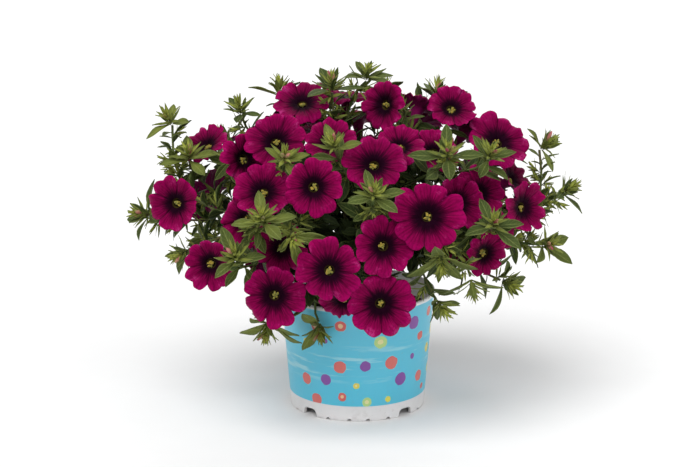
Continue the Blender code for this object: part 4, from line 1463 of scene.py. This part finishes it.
def soil_mesh(settings):
    """The soil: a lumpy top with crumbs on it, down to the pot's floor."""
    floor = FLOOR_LIFT + WALL + SOIL_GAP
    edge = pot_outside(SOIL_TOP) - WALL - SOIL_GAP
    profile = [(0, floor), (pot_outside(floor) - WALL - SOIL_GAP, floor)]
    for k in range(SOIL_ROWS + 1):
        share = 1 - k / SOIL_ROWS
        profile.append((edge * share, SOIL_TOP + SOIL_CROWN * (1 - share)))
    bm = spun(profile, SOIL_STEPS)
    for vertex in bm.verts:
        out = math.hypot(vertex.co.x, vertex.co.y)
        if vertex.co.z > SOIL_TOP - 1 and out < edge - SOIL_EDGE:
            lump = sum(noise.noise(vertex.co * scale) * height for scale, height in SOIL_LUMPS)
            vertex.co.z += lump * min((edge - out) / SOIL_SLOPE, 1)
    draw = random.Random("crumbs")
    for _ in range(settings.crumbs):
        crumb(bm, edge, draw)
    return bm


def crumb(bm, edge, draw):
    """Adds a crumb somewhere on top of the soil, which reaches this far out."""
    turn, out = draw.uniform(0, math.tau), (edge - CRUMB_EDGE) * math.sqrt(draw.random())
    size = draw.uniform(*CRUMB_SIZES)
    place = Vector((out * math.cos(turn), out * math.sin(turn), 0))
    place.z = SOIL_TOP + SOIL_CROWN * (1 - out / edge) + draw.uniform(*CRUMB_LIFTS)
    way = Vector([draw.uniform(-1, 1) for _ in range(3)]).normalized()
    wide, deep = draw.uniform(*CRUMB_WIDTHS), draw.uniform(*CRUMB_DEPTHS)
    shape = facing(place, way) @ Matrix.Diagonal((size, size * wide, size * deep, 1))
    bmesh.ops.create_icosphere(bm, subdivisions=1, radius=1, matrix=shape)


# Materials


class Number:
    """A number socket of a material, on which Python's arithmetic adds Math nodes."""

    def __init__(self, look, socket):
        self.look = look
        self.socket = socket

    def __add__(self, other):
        return self.look.maths("ADD", self, other)

    __radd__ = __add__

    def __sub__(self, other):
        return self.look.maths("SUBTRACT", self, other)

    def __rsub__(self, other):
        return self.look.maths("SUBTRACT", other, self)

    def __mul__(self, other):
        return self.look.maths("MULTIPLY", self, other)

    __rmul__ = __mul__

    def __truediv__(self, other):
        return self.look.maths("DIVIDE", self, other)

    def __rtruediv__(self, other):
        return self.look.maths("DIVIDE", other, self)

    def __neg__(self):
        return self.look.maths("MULTIPLY", self, -1)

    def __abs__(self):
        return self.look.maths("ABSOLUTE", self)


class Look:
    """A material being made: its Principled shader and the nodes that feed it."""

    def __init__(self, name, **constants):
        self.material = bpy.data.materials.new(name)
        self.material.use_nodes = True
        self.tree = self.material.node_tree
        self.shader = self.tree.nodes["Principled BSDF"]
        for key, value in constants.items():
            self.shader.inputs[key.replace("_", " ")].default_value = value

    def node(self, kind, settings=None, inputs=None):
        """A node of this type, with its settings made first, then its sockets fed."""
        made = self.tree.nodes.new(kind)
        for key, value in (settings or {}).items():
            if key == "stops":
                self.set_stops(made.color_ramp, value)
            else:
                setattr(made, key, value)
        for key, value in (inputs or {}).items():
            self.feed(made.inputs[key], value)
        return made

    def set_stops(self, ramp, colours):
        """Gives a ramp these colours in equal bands."""
        ramp.interpolation = "CONSTANT"
        while len(ramp.elements) < len(colours):
            ramp.elements.new(1)
        for k, (stop, colour) in enumerate(zip(ramp.elements, colours)):
            stop.position = k / len(colours)
            stop.color = (*colour, 1)

    def feed(self, socket, value):
        """Links the socket to a number or another socket, or sets it to a plain value."""
        if isinstance(value, Number):
            value = value.socket
        if isinstance(value, bpy.types.NodeSocket):
            self.tree.links.new(value, socket)
        elif socket.type == "RGBA" and len(value) == 3:
            socket.default_value = (*value, 1)
        else:
            socket.default_value = value

    def maths(self, operation, *values):
        made = self.node("ShaderNodeMath", {"operation": operation}, dict(enumerate(values)))
        return Number(self, made.outputs[0])

    def step(self, value, low, high):
        """0 below low and 1 above high, with a smooth rise between."""
        settings = {"interpolation_type": "SMOOTHSTEP"}
        inputs = {"Value": value, "From Min": low, "From Max": high}
        return Number(self, self.node("ShaderNodeMapRange", settings, inputs).outputs["Result"])

    def mix(self, factor, one, other):
        """The first colour where the factor is 0, the other where it is 1."""
        made = self.node("ShaderNodeMix", {"data_type": "RGBA"}, {0: factor, 6: one, 7: other})
        return made.outputs[2]

    def attribute(self, name):
        return self.node("ShaderNodeAttribute", {"attribute_name": name})

    def place(self):
        """The place on the object, in metres."""
        return self.node("ShaderNodeTexCoord").outputs["Object"]

    def apart(self, vector):
        """The three numbers of a vector."""
        made = self.node("ShaderNodeSeparateXYZ", inputs={"Vector": vector})
        return [Number(self, socket) for socket in made.outputs]

    def together(self, *numbers):
        """The vector of three numbers."""
        return self.node("ShaderNodeCombineXYZ", inputs=dict(enumerate(numbers))).outputs[0]

    def length(self, one, other):
        """The length of two numbers at right angles."""
        return self.maths("SQRT", one * one + other * other)

    def noise(self, vector, scale, detail=2.0, roughness=0.5):
        inputs = {"Vector": vector, "Scale": scale, "Detail": detail, "Roughness": roughness}
        return Number(self, self.node("ShaderNodeTexNoise", inputs=inputs).outputs["Fac"])

    def bump(self, height, distance, strength=1.0):
        """Raises the surface a little where the height is more."""
        inputs = {"Height": height, "Distance": distance, "Strength": strength}
        made = self.node("ShaderNodeBump", inputs=inputs)
        self.feed(self.shader.inputs["Normal"], made.outputs[0])

    def finish(self, colour, roughness):
        """The material, with its colour and roughness."""
        self.feed(self.shader.inputs["Base Color"], colour)
        self.feed(self.shader.inputs["Roughness"], roughness)
        return self.material


def petal_look(settings):
    """Velvety crimson petals: dark throat, dark joins and folds, streaks and veins that fan out,
    and painted highlights that lighten the rims.
    """
    look = Look(
        "petal",
        Specular_IOR_Level=0.12,
        Specular_Tint=(1, 0.15, 0.6, 1),
        Sheen_Weight=0.03,
        Sheen_Roughness=0.4,
        Sheen_Tint=(1, 0.3, 0.7, 1),
    )
    x, y, outside = look.apart(look.attribute("petal").outputs["Vector"])
    tone = Number(look, look.attribute("tone").outputs["Fac"])
    reach = look.length(x, y)
    turn = look.maths("ARCTAN2", y, x) * (LOBES / math.tau)
    from_middle = look.maths("PINGPONG", turn, 0.5)
    flat = look.together(x, y, tone * 7)
    cloud = look.noise(flat, 2.6, 3)
    fine = look.noise(flat, 22, 3)
    fan = look.together(from_middle * 9, reach * 1.3, tone * 5)
    streaks = look.step(look.noise(fan, 2.5, 4, 0.6), 0.3, 0.7)
    join = 1 - look.step((0.5 - from_middle) * reach, 0.002, 0.035)
    fold = 1 - look.step(from_middle * reach, 0.0, 0.028)
    swerve = (look.noise(flat, 5, 2) - 0.5) * reach
    lines = look.maths("PINGPONG", turn * 9 + swerve * 2.5, 0.5)
    veins = (1 - look.step(lines, 0.03, 0.24)) * look.step(reach, 0.25, 0.5)

    colour = look.mix(cloud * 0.6 + streaks * 0.4, PETAL_DEEP, PETAL_BRIGHT)
    colour = look.mix(tone * 0.35, colour, PETAL_DEEP)
    # painted highlight: the lobes are made lighter towards their rims, with pink shine patches
    # there
    rim = look.step(reach + (fine - 0.5) * 0.25 + (cloud - 0.5) * 0.3, 0.62, 1.1)
    colour = look.mix(rim * 0.65, colour, PETAL_RIM_HIGHLIGHT)
    shine = look.step(cloud + fine * 0.35, 0.74, 0.9) * rim
    colour = look.mix(shine * 0.3, colour, PETAL_SHINE)
    colour = look.mix(veins * settings.veins, colour, PETAL_VEIN)
    colour = look.mix(fold * 0.5 * (1 - look.step(reach, 0.6, 1.0) * 0.5), colour, PETAL_VEIN)
    colour = look.mix(join * 0.7, colour, PETAL_THROAT)
    shade = 1 - look.step(reach + (streaks - 0.5) * 0.16, 0.3, 0.72)
    colour = look.mix(shade * 0.75, colour, PETAL_VEIN)
    throat = 1 - look.step(reach + (streaks - 0.5) * 0.14 + from_middle * 0.06, 0.3, 0.6)
    colour = look.mix(throat, colour, PETAL_THROAT)
    back = look.mix(veins * 0.6, PETAL_BACK, PETAL_VEIN)
    colour = look.mix(look.step(outside, 0.1, 0.9) * 0.85, colour, back)
    lining = look.step(-outside, 0.25, 0.9)
    colour = look.mix(lining, colour, look.mix(fine, THROAT_LINING, PETAL_THROAT))
    look.bump(streaks * 0.5 + veins * -0.4 + fine * 0.35 - join * 0.8, 0.0003, 0.6)
    return look.finish(colour, 0.5 + fine * 0.2)


def eye_look():
    """Pollen-dusted anthers, yellow to green."""
    look = Look("anthers", Sheen_Weight=0.2)
    place = look.place()
    grain = look.noise(place, 2600, 2)
    patch = look.noise(place, 420, 1)
    colour = look.mix(look.step(patch, 0.42, 0.6), ANTHER_YELLOW, ANTHER_GREEN)
    colour = look.mix(look.step(grain, 0.5, 0.7) * 0.5, colour, POLLEN)
    look.bump(grain, 0.0001, 0.7)
    return look.finish(colour, 0.75 + grain * 0.15)


def leaf_look():
    """Soft hairy leaves, dark when old and lime when young, with pale margins and midribs, and
    painted shade on the leaves deep inside the plant.
    """
    look = Look(
        "leaf",
        Specular_IOR_Level=0.22,
        Specular_Tint=(0.8, 1, 0.6, 1),
        Sheen_Weight=0.03,
        Sheen_Roughness=0.5,
        Sheen_Tint=(0.85, 1, 0.7, 1),
    )
    along, across, tone = look.apart(look.attribute("blade").outputs["Vector"])
    place = look.place()
    cloud = look.noise(place, 90, 2)
    fine = look.noise(place, 900, 3)
    hairs = look.noise(place, 3200, 2)
    side = abs(across)
    young = look.maths("MINIMUM", tone * (1.15 - along * 0.5 - side * 0.25), 1)
    young = look.maths("MAXIMUM", young, 0)
    young = young * (young * 0.45 + 0.55)
    # painted shade: leaves deep inside the plant get a darker colour, which also dims their pale
    # marks and hairs
    painted_inner_shade = look.step(-tone, 0.0, 1.0)
    rib_run = look.maths("PINGPONG", along * 7 - side * 1.6 + cloud * 0.6, 0.5)
    ribs = 1 - look.step(rib_run, 0.02, 0.16)
    middle = 1 - look.step(side, 0.02, 0.13)
    margin = look.step(side + (fine - 0.5) * 0.15, 0.72, 1.0)

    colour = look.mix(young, LEAF_OLD, LEAF_YOUNG)
    colour = look.mix(look.step(cloud, 0.4, 0.7) * 0.3, colour, LEAF_MOTTLE_AND_SHADE)
    colour = look.mix(painted_inner_shade * 0.8, colour, LEAF_MOTTLE_AND_SHADE)
    pale = look.mix(painted_inner_shade * 0.85, LEAF_PALE, LEAF_OLD)
    colour = look.mix(ribs * 0.15, colour, pale)
    colour = look.mix(middle * 0.4, colour, pale)
    colour = look.mix(margin * 0.4, colour, pale)
    colour = look.mix(look.step(hairs, 0.58, 0.72) * 0.18 * (1 - painted_inner_shade), colour, LEAF_HAIR)
    look.bump(fine * 0.5 + hairs * 0.4 - middle * 0.9 - ribs * 0.3, 0.00025, 0.55)
    return look.finish(colour, 0.5 + fine * 0.22)


def stem_look():
    """Green stalks, browner in patches, with fine hairs."""
    look = Look("stem", Specular_IOR_Level=0.25, Sheen_Weight=0.05, Sheen_Tint=(0.9, 1, 0.7, 1))
    place = look.place()
    patch = look.noise(place, 60, 2)
    hairs = look.noise(place, 2600, 2)
    colour = look.mix(look.step(patch, 0.35, 0.7), STEM_GREEN, STEM_BROWN)
    colour = look.mix(look.step(hairs, 0.55, 0.75) * 0.35, colour, STEM_HAIR)
    look.bump(hairs, 0.0002, 0.6)
    return look.finish(colour, 0.55 + hairs * 0.2)


def bud_look():
    """Closed buds: green, pink and crimson in patches, with a fine cream grain."""
    look = Look("bud", Specular_IOR_Level=0.2, Sheen_Weight=0.05)
    place = look.place()
    patch = look.noise(place, 130, 2)
    fine = look.noise(place, 1400, 3)
    colour = look.mix(look.step(patch, 0.35, 0.55), BUD_GREEN, BUD_PINK)
    colour = look.mix(look.step(patch, 0.52, 0.68), colour, BUD_CRIMSON)
    colour = look.mix(fine * 0.3, colour, BUD_CREAM)
    look.bump(fine, 0.0002, 0.5)
    return look.finish(colour, 0.5 + fine * 0.2)


def dot_print(look, place, height, layout):
    """Where the pot's scattered dots are, from 0 to 1, and the colour of their ink."""
    x, y, _ = look.apart(place)
    turn = look.maths("ARCTAN2", y, x) * (DOTS_ROUND / math.tau)
    row = height * (1 / DOT_ROW) + DOT_START
    row_number = look.maths("FLOOR", row)
    turn = turn + look.maths("WRAP", row_number, 2, 0) * 0.5
    column = look.maths("FLOOR", turn)
    cell = look.together(look.maths("WRAP", column, DOTS_ROUND, 0), row_number, layout)
    draw = look.node("ShaderNodeTexWhiteNoise", inputs={"Vector": cell})
    first, second, third = look.apart(draw.outputs["Color"])
    kind = Number(look, draw.outputs["Value"])

    pitch = math.tau * pot_outside(POT_HEIGHT / 2) / DOTS_ROUND
    sideways = (turn - column - 0.5 - (first - 0.5) * DOT_STRAY) * pitch
    upward = (row - row_number - 0.5 - (second - 0.5) * DOT_STRAY) * DOT_ROW
    away = look.length(sideways, upward) + (look.noise(place, 330, 1) - 0.5) * DOT_WOBBLE
    radius = third * (DOT_RADII[1] - DOT_RADII[0]) + DOT_RADII[0]
    radius = radius * look.step(kind, DOT_BLANKS, DOT_BLANKS + 0.01)
    dot = 1 - look.step(away - radius, -INK_EDGE, INK_EDGE)
    dot = dot * look.step(radius, 0.1, 0.2)
    heart = 1 - look.step(away - radius * HEART_RADIUS, -INK_EDGE, INK_EDGE)
    heart = heart * look.step(first, HEART_BLANKS, HEART_BLANKS + 0.01)
    band = (kind - DOT_BLANKS) / (1 - DOT_BLANKS)
    ramp = look.node("ShaderNodeValToRGB", {"stops": DOT_COLOURS}, {0: band})
    return dot, look.mix(heart * 0.7, ramp.outputs["Color"], DOT_HEART)


def ground_print(look, place, height, cloud):
    """The blue ground of the print, paler upwards, with pale brush strokes in a band."""
    x, y, z = look.apart(place)
    ground = look.mix(look.step(height + cloud * 20, 20, 90), PRINT_LOW, PRINT_HIGH)
    ground = look.mix(cloud * 0.3, ground, PRINT_PALE)
    strokes = look.noise(look.together(x * 0.35, y * 0.35, z * 4), 60, 4, 0.6)
    band = look.step(height, 24, 34) * (1 - look.step(height, 46, 58))
    return look.mix(look.step(strokes, 0.5, 0.62) * band * 0.55, ground, PRINT_STROKE)


def printed_wall(look, place, height):
    """1 on the outside of the wall between the foot and the rim, and 0 elsewhere."""
    x, y, _ = look.apart(place)
    slope = (RIM_RADIUS - RIM_BEAD - FOOT_RADIUS) / POT_HEIGHT
    out = look.length(x, y) * MM_PER_METRE - height * slope
    wall = look.step(out, FOOT_RADIUS - 0.5, FOOT_RADIUS - 0.3)
    above = look.step(height, PRINT_FOOT - PRINT_EDGE, PRINT_FOOT + PRINT_EDGE)
    below = 1 - look.step(height, PRINT_TOP - PRINT_EDGE, PRINT_TOP + PRINT_EDGE)
    return wall * above * below


def pot_look(settings):
    """White moulded plastic with a printed wall, a little soiled low down."""
    look = Look(
        "printed_plastic",
        Coat_Weight=0.12,
        Coat_Roughness=0.3,
        Subsurface_Weight=0.6,
        Subsurface_Radius=(1, 0.95, 0.9),
        Subsurface_Scale=0.004,
    )
    place = look.place()
    height = look.apart(place)[2] * MM_PER_METRE
    cloud = look.noise(place, 26, 2)
    grain = look.noise(place, 1500, 3)
    speck = look.noise(place, 420, 2)
    dirt = look.step(look.noise(place, 75, 4, 0.7), 0.55, 0.8)

    printed = printed_wall(look, place, height)
    dot, ink = dot_print(look, place, height, settings.layout)
    ground = look.mix(dot, ground_print(look, place, height, cloud), ink)
    plastic = look.mix(cloud * 0.5, PLASTIC_WHITE, PLASTIC_SHADE)
    plastic = look.mix(dirt * 0.3 * (1 - look.step(height, 2, 14)), plastic, PLASTIC_DIRT)
    colour = look.mix(printed, plastic, ground)
    colour = look.mix(look.step(speck, 0.66, 0.74) * 0.12, colour, PLASTIC_DIRT)
    look.bump(grain * 0.4 + cloud * 0.6 + printed * 0.25, 0.00012, 0.4)
    return look.finish(colour, 0.34 + speck * 0.16 + dirt * 0.12)


def soil_look():
    """Moist dark compost with paler fibres."""
    look = Look("soil")
    place = look.place()
    lumps = look.noise(place, 160, 5, 0.65)
    grain = look.noise(place, 900, 4, 0.7)
    fibre = look.noise(place, 380, 6, 0.75)
    colour = look.mix(lumps, SOIL_DARK, SOIL_BROWN)
    colour = look.mix(look.step(fibre, 0.58, 0.68) * 0.6, colour, SOIL_FIBRE)
    look.bump(lumps + grain * 0.6, 0.0012, 0.9)
    return look.finish(colour, 0.82 + grain * 0.15)


def floor_look():
    """Plain white studio paper."""
    look = Look("floor", Specular_IOR_Level=0.2)
    grain = look.noise(look.place(), 40, 3)
    return look.finish(look.mix(grain, PAPER_DARK, PAPER_LIGHT), 0.8 + grain * 0.1)


# Stage


def add_floor(scene):
    """A wide flat sheet of paper under the pot."""
    bm = bmesh.new()
    bmesh.ops.create_grid(bm, x_segments=2, y_segments=2, size=FLOOR_HALF)
    mesh = bpy.data.meshes.new("floor")
    bm.to_mesh(mesh)
    bm.free()
    mesh.materials.append(floor_look())
    floor = bpy.data.objects.new("floor", mesh)
    scene.collection.objects.link(floor)
    floor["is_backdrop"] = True


def add_sun(scene, place, angle, power):
    """A light from this place to the middle of the plant, softer where its angle is wider."""
    data = bpy.data.lights.new("light", "SUN")
    data.energy = power
    data.angle = angle
    light = bpy.data.objects.new("light", data)
    light.location = place
    way = Vector(LIT_POINT) - light.location
    light.rotation_euler = way.to_track_quat("-Z", "Y").to_euler()
    scene.collection.objects.link(light)


def add_sky(scene, power):
    """Plain white light from all round."""
    world = bpy.data.worlds.new("studio")
    world.use_nodes = True
    background = world.node_tree.nodes["Background"]
    background.inputs["Color"].default_value = (1, 1, 1, 1)
    background.inputs["Strength"].default_value = power
    scene.world = world


def add_camera(scene, lens):
    """The camera of the front view."""
    data = bpy.data.cameras.new("camera")
    data.lens = lens
    data.sensor_width = SENSOR
    data.clip_end = CLIP_END
    camera = bpy.data.objects.new("camera", data)
    target = seen_at(VIEW_ACROSS, VIEW_UP, 0)
    toward = Vector((0, -math.cos(VIEW_TILT), math.sin(VIEW_TILT)))
    camera.location = (target + toward * VIEW_DISTANCE) * METRES_PER_MM
    camera.rotation_euler = toward.to_track_quat("Z", "Y").to_euler()
    scene.collection.objects.link(camera)
    scene.camera = camera


# The add-on


class BloomSettings(bpy.types.PropertyGroup):
    """How finely the blooms are made, and how strong their ruffles and veins are."""

    steps: bpy.props.IntProperty(
        name="Steps", description="Steps round each bloom", default=100, min=40
    )
    ruffle: bpy.props.FloatProperty(
        name="Ruffle",
        description="Height of the waves along the rim of the lobes",
        default=0.0008,
        unit="LENGTH",
    )
    veins: bpy.props.FloatProperty(
        name="Veins", description="Strength of the dark veins", default=0.3, subtype="FACTOR"
    )


class FoliageSettings(bpy.types.PropertyGroup):
    """How thickly the stems are leaved."""

    spacing: bpy.props.FloatProperty(
        name="Spacing",
        description="Distance between the leaves along a stalk",
        default=0.0038,
        min=0.002,
        unit="LENGTH",
    )
    side_shoots: bpy.props.FloatProperty(
        name="Side shoots",
        description="Share of those leaves that have a small shoot beside them",
        default=0.3,
        subtype="FACTOR",
    )


class PotSettings(bpy.types.PropertyGroup):
    """The print on the pot and the top of the soil."""

    layout: bpy.props.FloatProperty(
        name="Layout", description="Another number gives another scatter of dots", default=3.0
    )
    crumbs: bpy.props.IntProperty(
        name="Crumbs", description="Crumbs that lie on the soil", default=700, min=0
    )


class StageSettings(bpy.types.PropertyGroup):
    """The light and the camera."""

    key: bpy.props.FloatProperty(
        name="Key", description="Strength of the main light", default=2.4, min=0
    )
    fill: bpy.props.FloatProperty(
        name="Fill", description="Strength of the light from the other side", default=0.8, min=0
    )
    back: bpy.props.FloatProperty(
        name="Back", description="Strength of the light from behind", default=0.8, min=0
    )
    sky: bpy.props.FloatProperty(
        name="Sky", description="Strength of the light from all round", default=0.34, min=0
    )
    lens: bpy.props.FloatProperty(
        name="Lens",
        description="Focal length",
        default=150.2,
        min=1,
        unit="CAMERA",
    )


class BuildBlooms(bpy.types.Operator):
    """Builds every bloom in its place in the frame"""

    bl_idname = "calibrachoa.blooms"
    bl_label = "Build the blooms"

    def execute(self, context):
        settings = context.scene.calibrachoa_blooms
        looks = petal_look(settings), eye_look()
        for name, place, width, rim in settled_blooms():
            bm = bloom_mesh(width, rim, name, settings)
            bm.transform(place)
            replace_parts(put(bm, "fine_" + name, "petal", *looks), name)
        return {"FINISHED"}


class BuildLeafyStems(bpy.types.Operator):
    """Builds the stems with their leaves, shoots and flower cups"""

    bl_idname = "calibrachoa.leafy_stems"
    bl_label = "Build the leafy stems"

    def execute(self, context):
        settings = context.scene.calibrachoa_foliage
        looks = leaf_look(), stem_look(), bud_look()
        blooms = list(settled_blooms())
        room = Room(blooms)
        lines, stalks = settled_stems(blooms)
        for number, line in enumerate(lines):
            own = [stalk for stalk in stalks if stalk.stem == number]
            made = leafy_stem(number, line, own, room, settings, looks)
            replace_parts(made, f"leafy_stem_{number + 1:02d}")
        return {"FINISHED"}


class BuildPot(bpy.types.Operator):
    """Builds the printed pot"""

    bl_idname = "calibrachoa.pot"
    bl_label = "Build the pot"

    def execute(self, context):
        bm = cut(spun(pot_section(), POT_STEPS), foot_cutters())
        made = put(bm, "fine_pot", "pot", pot_look(context.scene.calibrachoa_pot))
        made.data.set_sharp_from_angle(angle=POT_SHARP)
        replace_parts(made, "pot")
        return {"FINISHED"}


class BuildSoil(bpy.types.Operator):
    """Builds the soil in the pot"""

    bl_idname = "calibrachoa.soil"
    bl_label = "Build the soil"

    def execute(self, context):
        bm = soil_mesh(context.scene.calibrachoa_pot)
        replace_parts(put(bm, "fine_soil", "soil", soil_look()), "soil")
        return {"FINISHED"}


class BuildStage(bpy.types.Operator):
    """Sets the floor, the soft lights and the camera"""

    bl_idname = "calibrachoa.stage"
    bl_label = "Set the stage"

    def execute(self, context):
        scene = context.scene
        settings = scene.calibrachoa_stage
        scene.view_settings.view_transform = "Standard"
        add_floor(scene)
        add_sun(scene, KEY_PLACE, KEY_ANGLE, settings.key)
        add_sun(scene, FILL_PLACE, FILL_ANGLE, settings.fill)
        add_sun(scene, BACK_PLACE, FILL_ANGLE, settings.back)
        add_sky(scene, settings.sky)
        add_camera(scene, settings.lens)
        return {"FINISHED"}


PANEL_ROWS = (
    ("calibrachoa_blooms", ("calibrachoa.blooms",)),
    ("calibrachoa_foliage", ("calibrachoa.leafy_stems",)),
    ("calibrachoa_pot", ("calibrachoa.pot", "calibrachoa.soil")),
    ("calibrachoa_stage", ("calibrachoa.stage",)),
)


class CalibrachoaPanel(bpy.types.Panel):
    """The buttons that build the plant, with their settings"""

    bl_idname = "VIEW3D_PT_calibrachoa"
    bl_label = "Calibrachoa"
    bl_space_type = "VIEW_3D"
    bl_region_type = "UI"
    bl_category = "Calibrachoa"

    def draw(self, context):
        for settings, operators in PANEL_ROWS:
            box = self.layout.box()
            group = getattr(context.scene, settings)
            for name in group.bl_rna.properties.keys():
                if name not in ("rna_type", "name"):
                    box.prop(group, name)
            for operator in operators:
                box.operator(operator)


GROUPS = {
    "calibrachoa_blooms": BloomSettings,
    "calibrachoa_foliage": FoliageSettings,
    "calibrachoa_pot": PotSettings,
    "calibrachoa_stage": StageSettings,
}
CLASSES = (
    *GROUPS.values(),
    BuildBlooms,
    BuildLeafyStems,
    BuildPot,
    BuildSoil,
    BuildStage,
    CalibrachoaPanel,
)


def register():
    for kind in CLASSES:
        bpy.utils.register_class(kind)
    for name, group in GROUPS.items():
        setattr(bpy.types.Scene, name, bpy.props.PointerProperty(type=group))


def unregister():
    for name in GROUPS:
        delattr(bpy.types.Scene, name)
    for kind in reversed(CLASSES):
        bpy.utils.unregister_class(kind)


def main():
    register()
    bpy.ops.calibrachoa.stage()
    bpy.ops.calibrachoa.pot()
    bpy.ops.calibrachoa.soil()
    bpy.ops.calibrachoa.blooms()
    bpy.ops.calibrachoa.leafy_stems()
    boxes = {"cad": CAD_BOX, "visual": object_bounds()}
    {name: [list(corner) for corner in box] for name, box in boxes.items()}


if __name__ == "__main__":
    main()
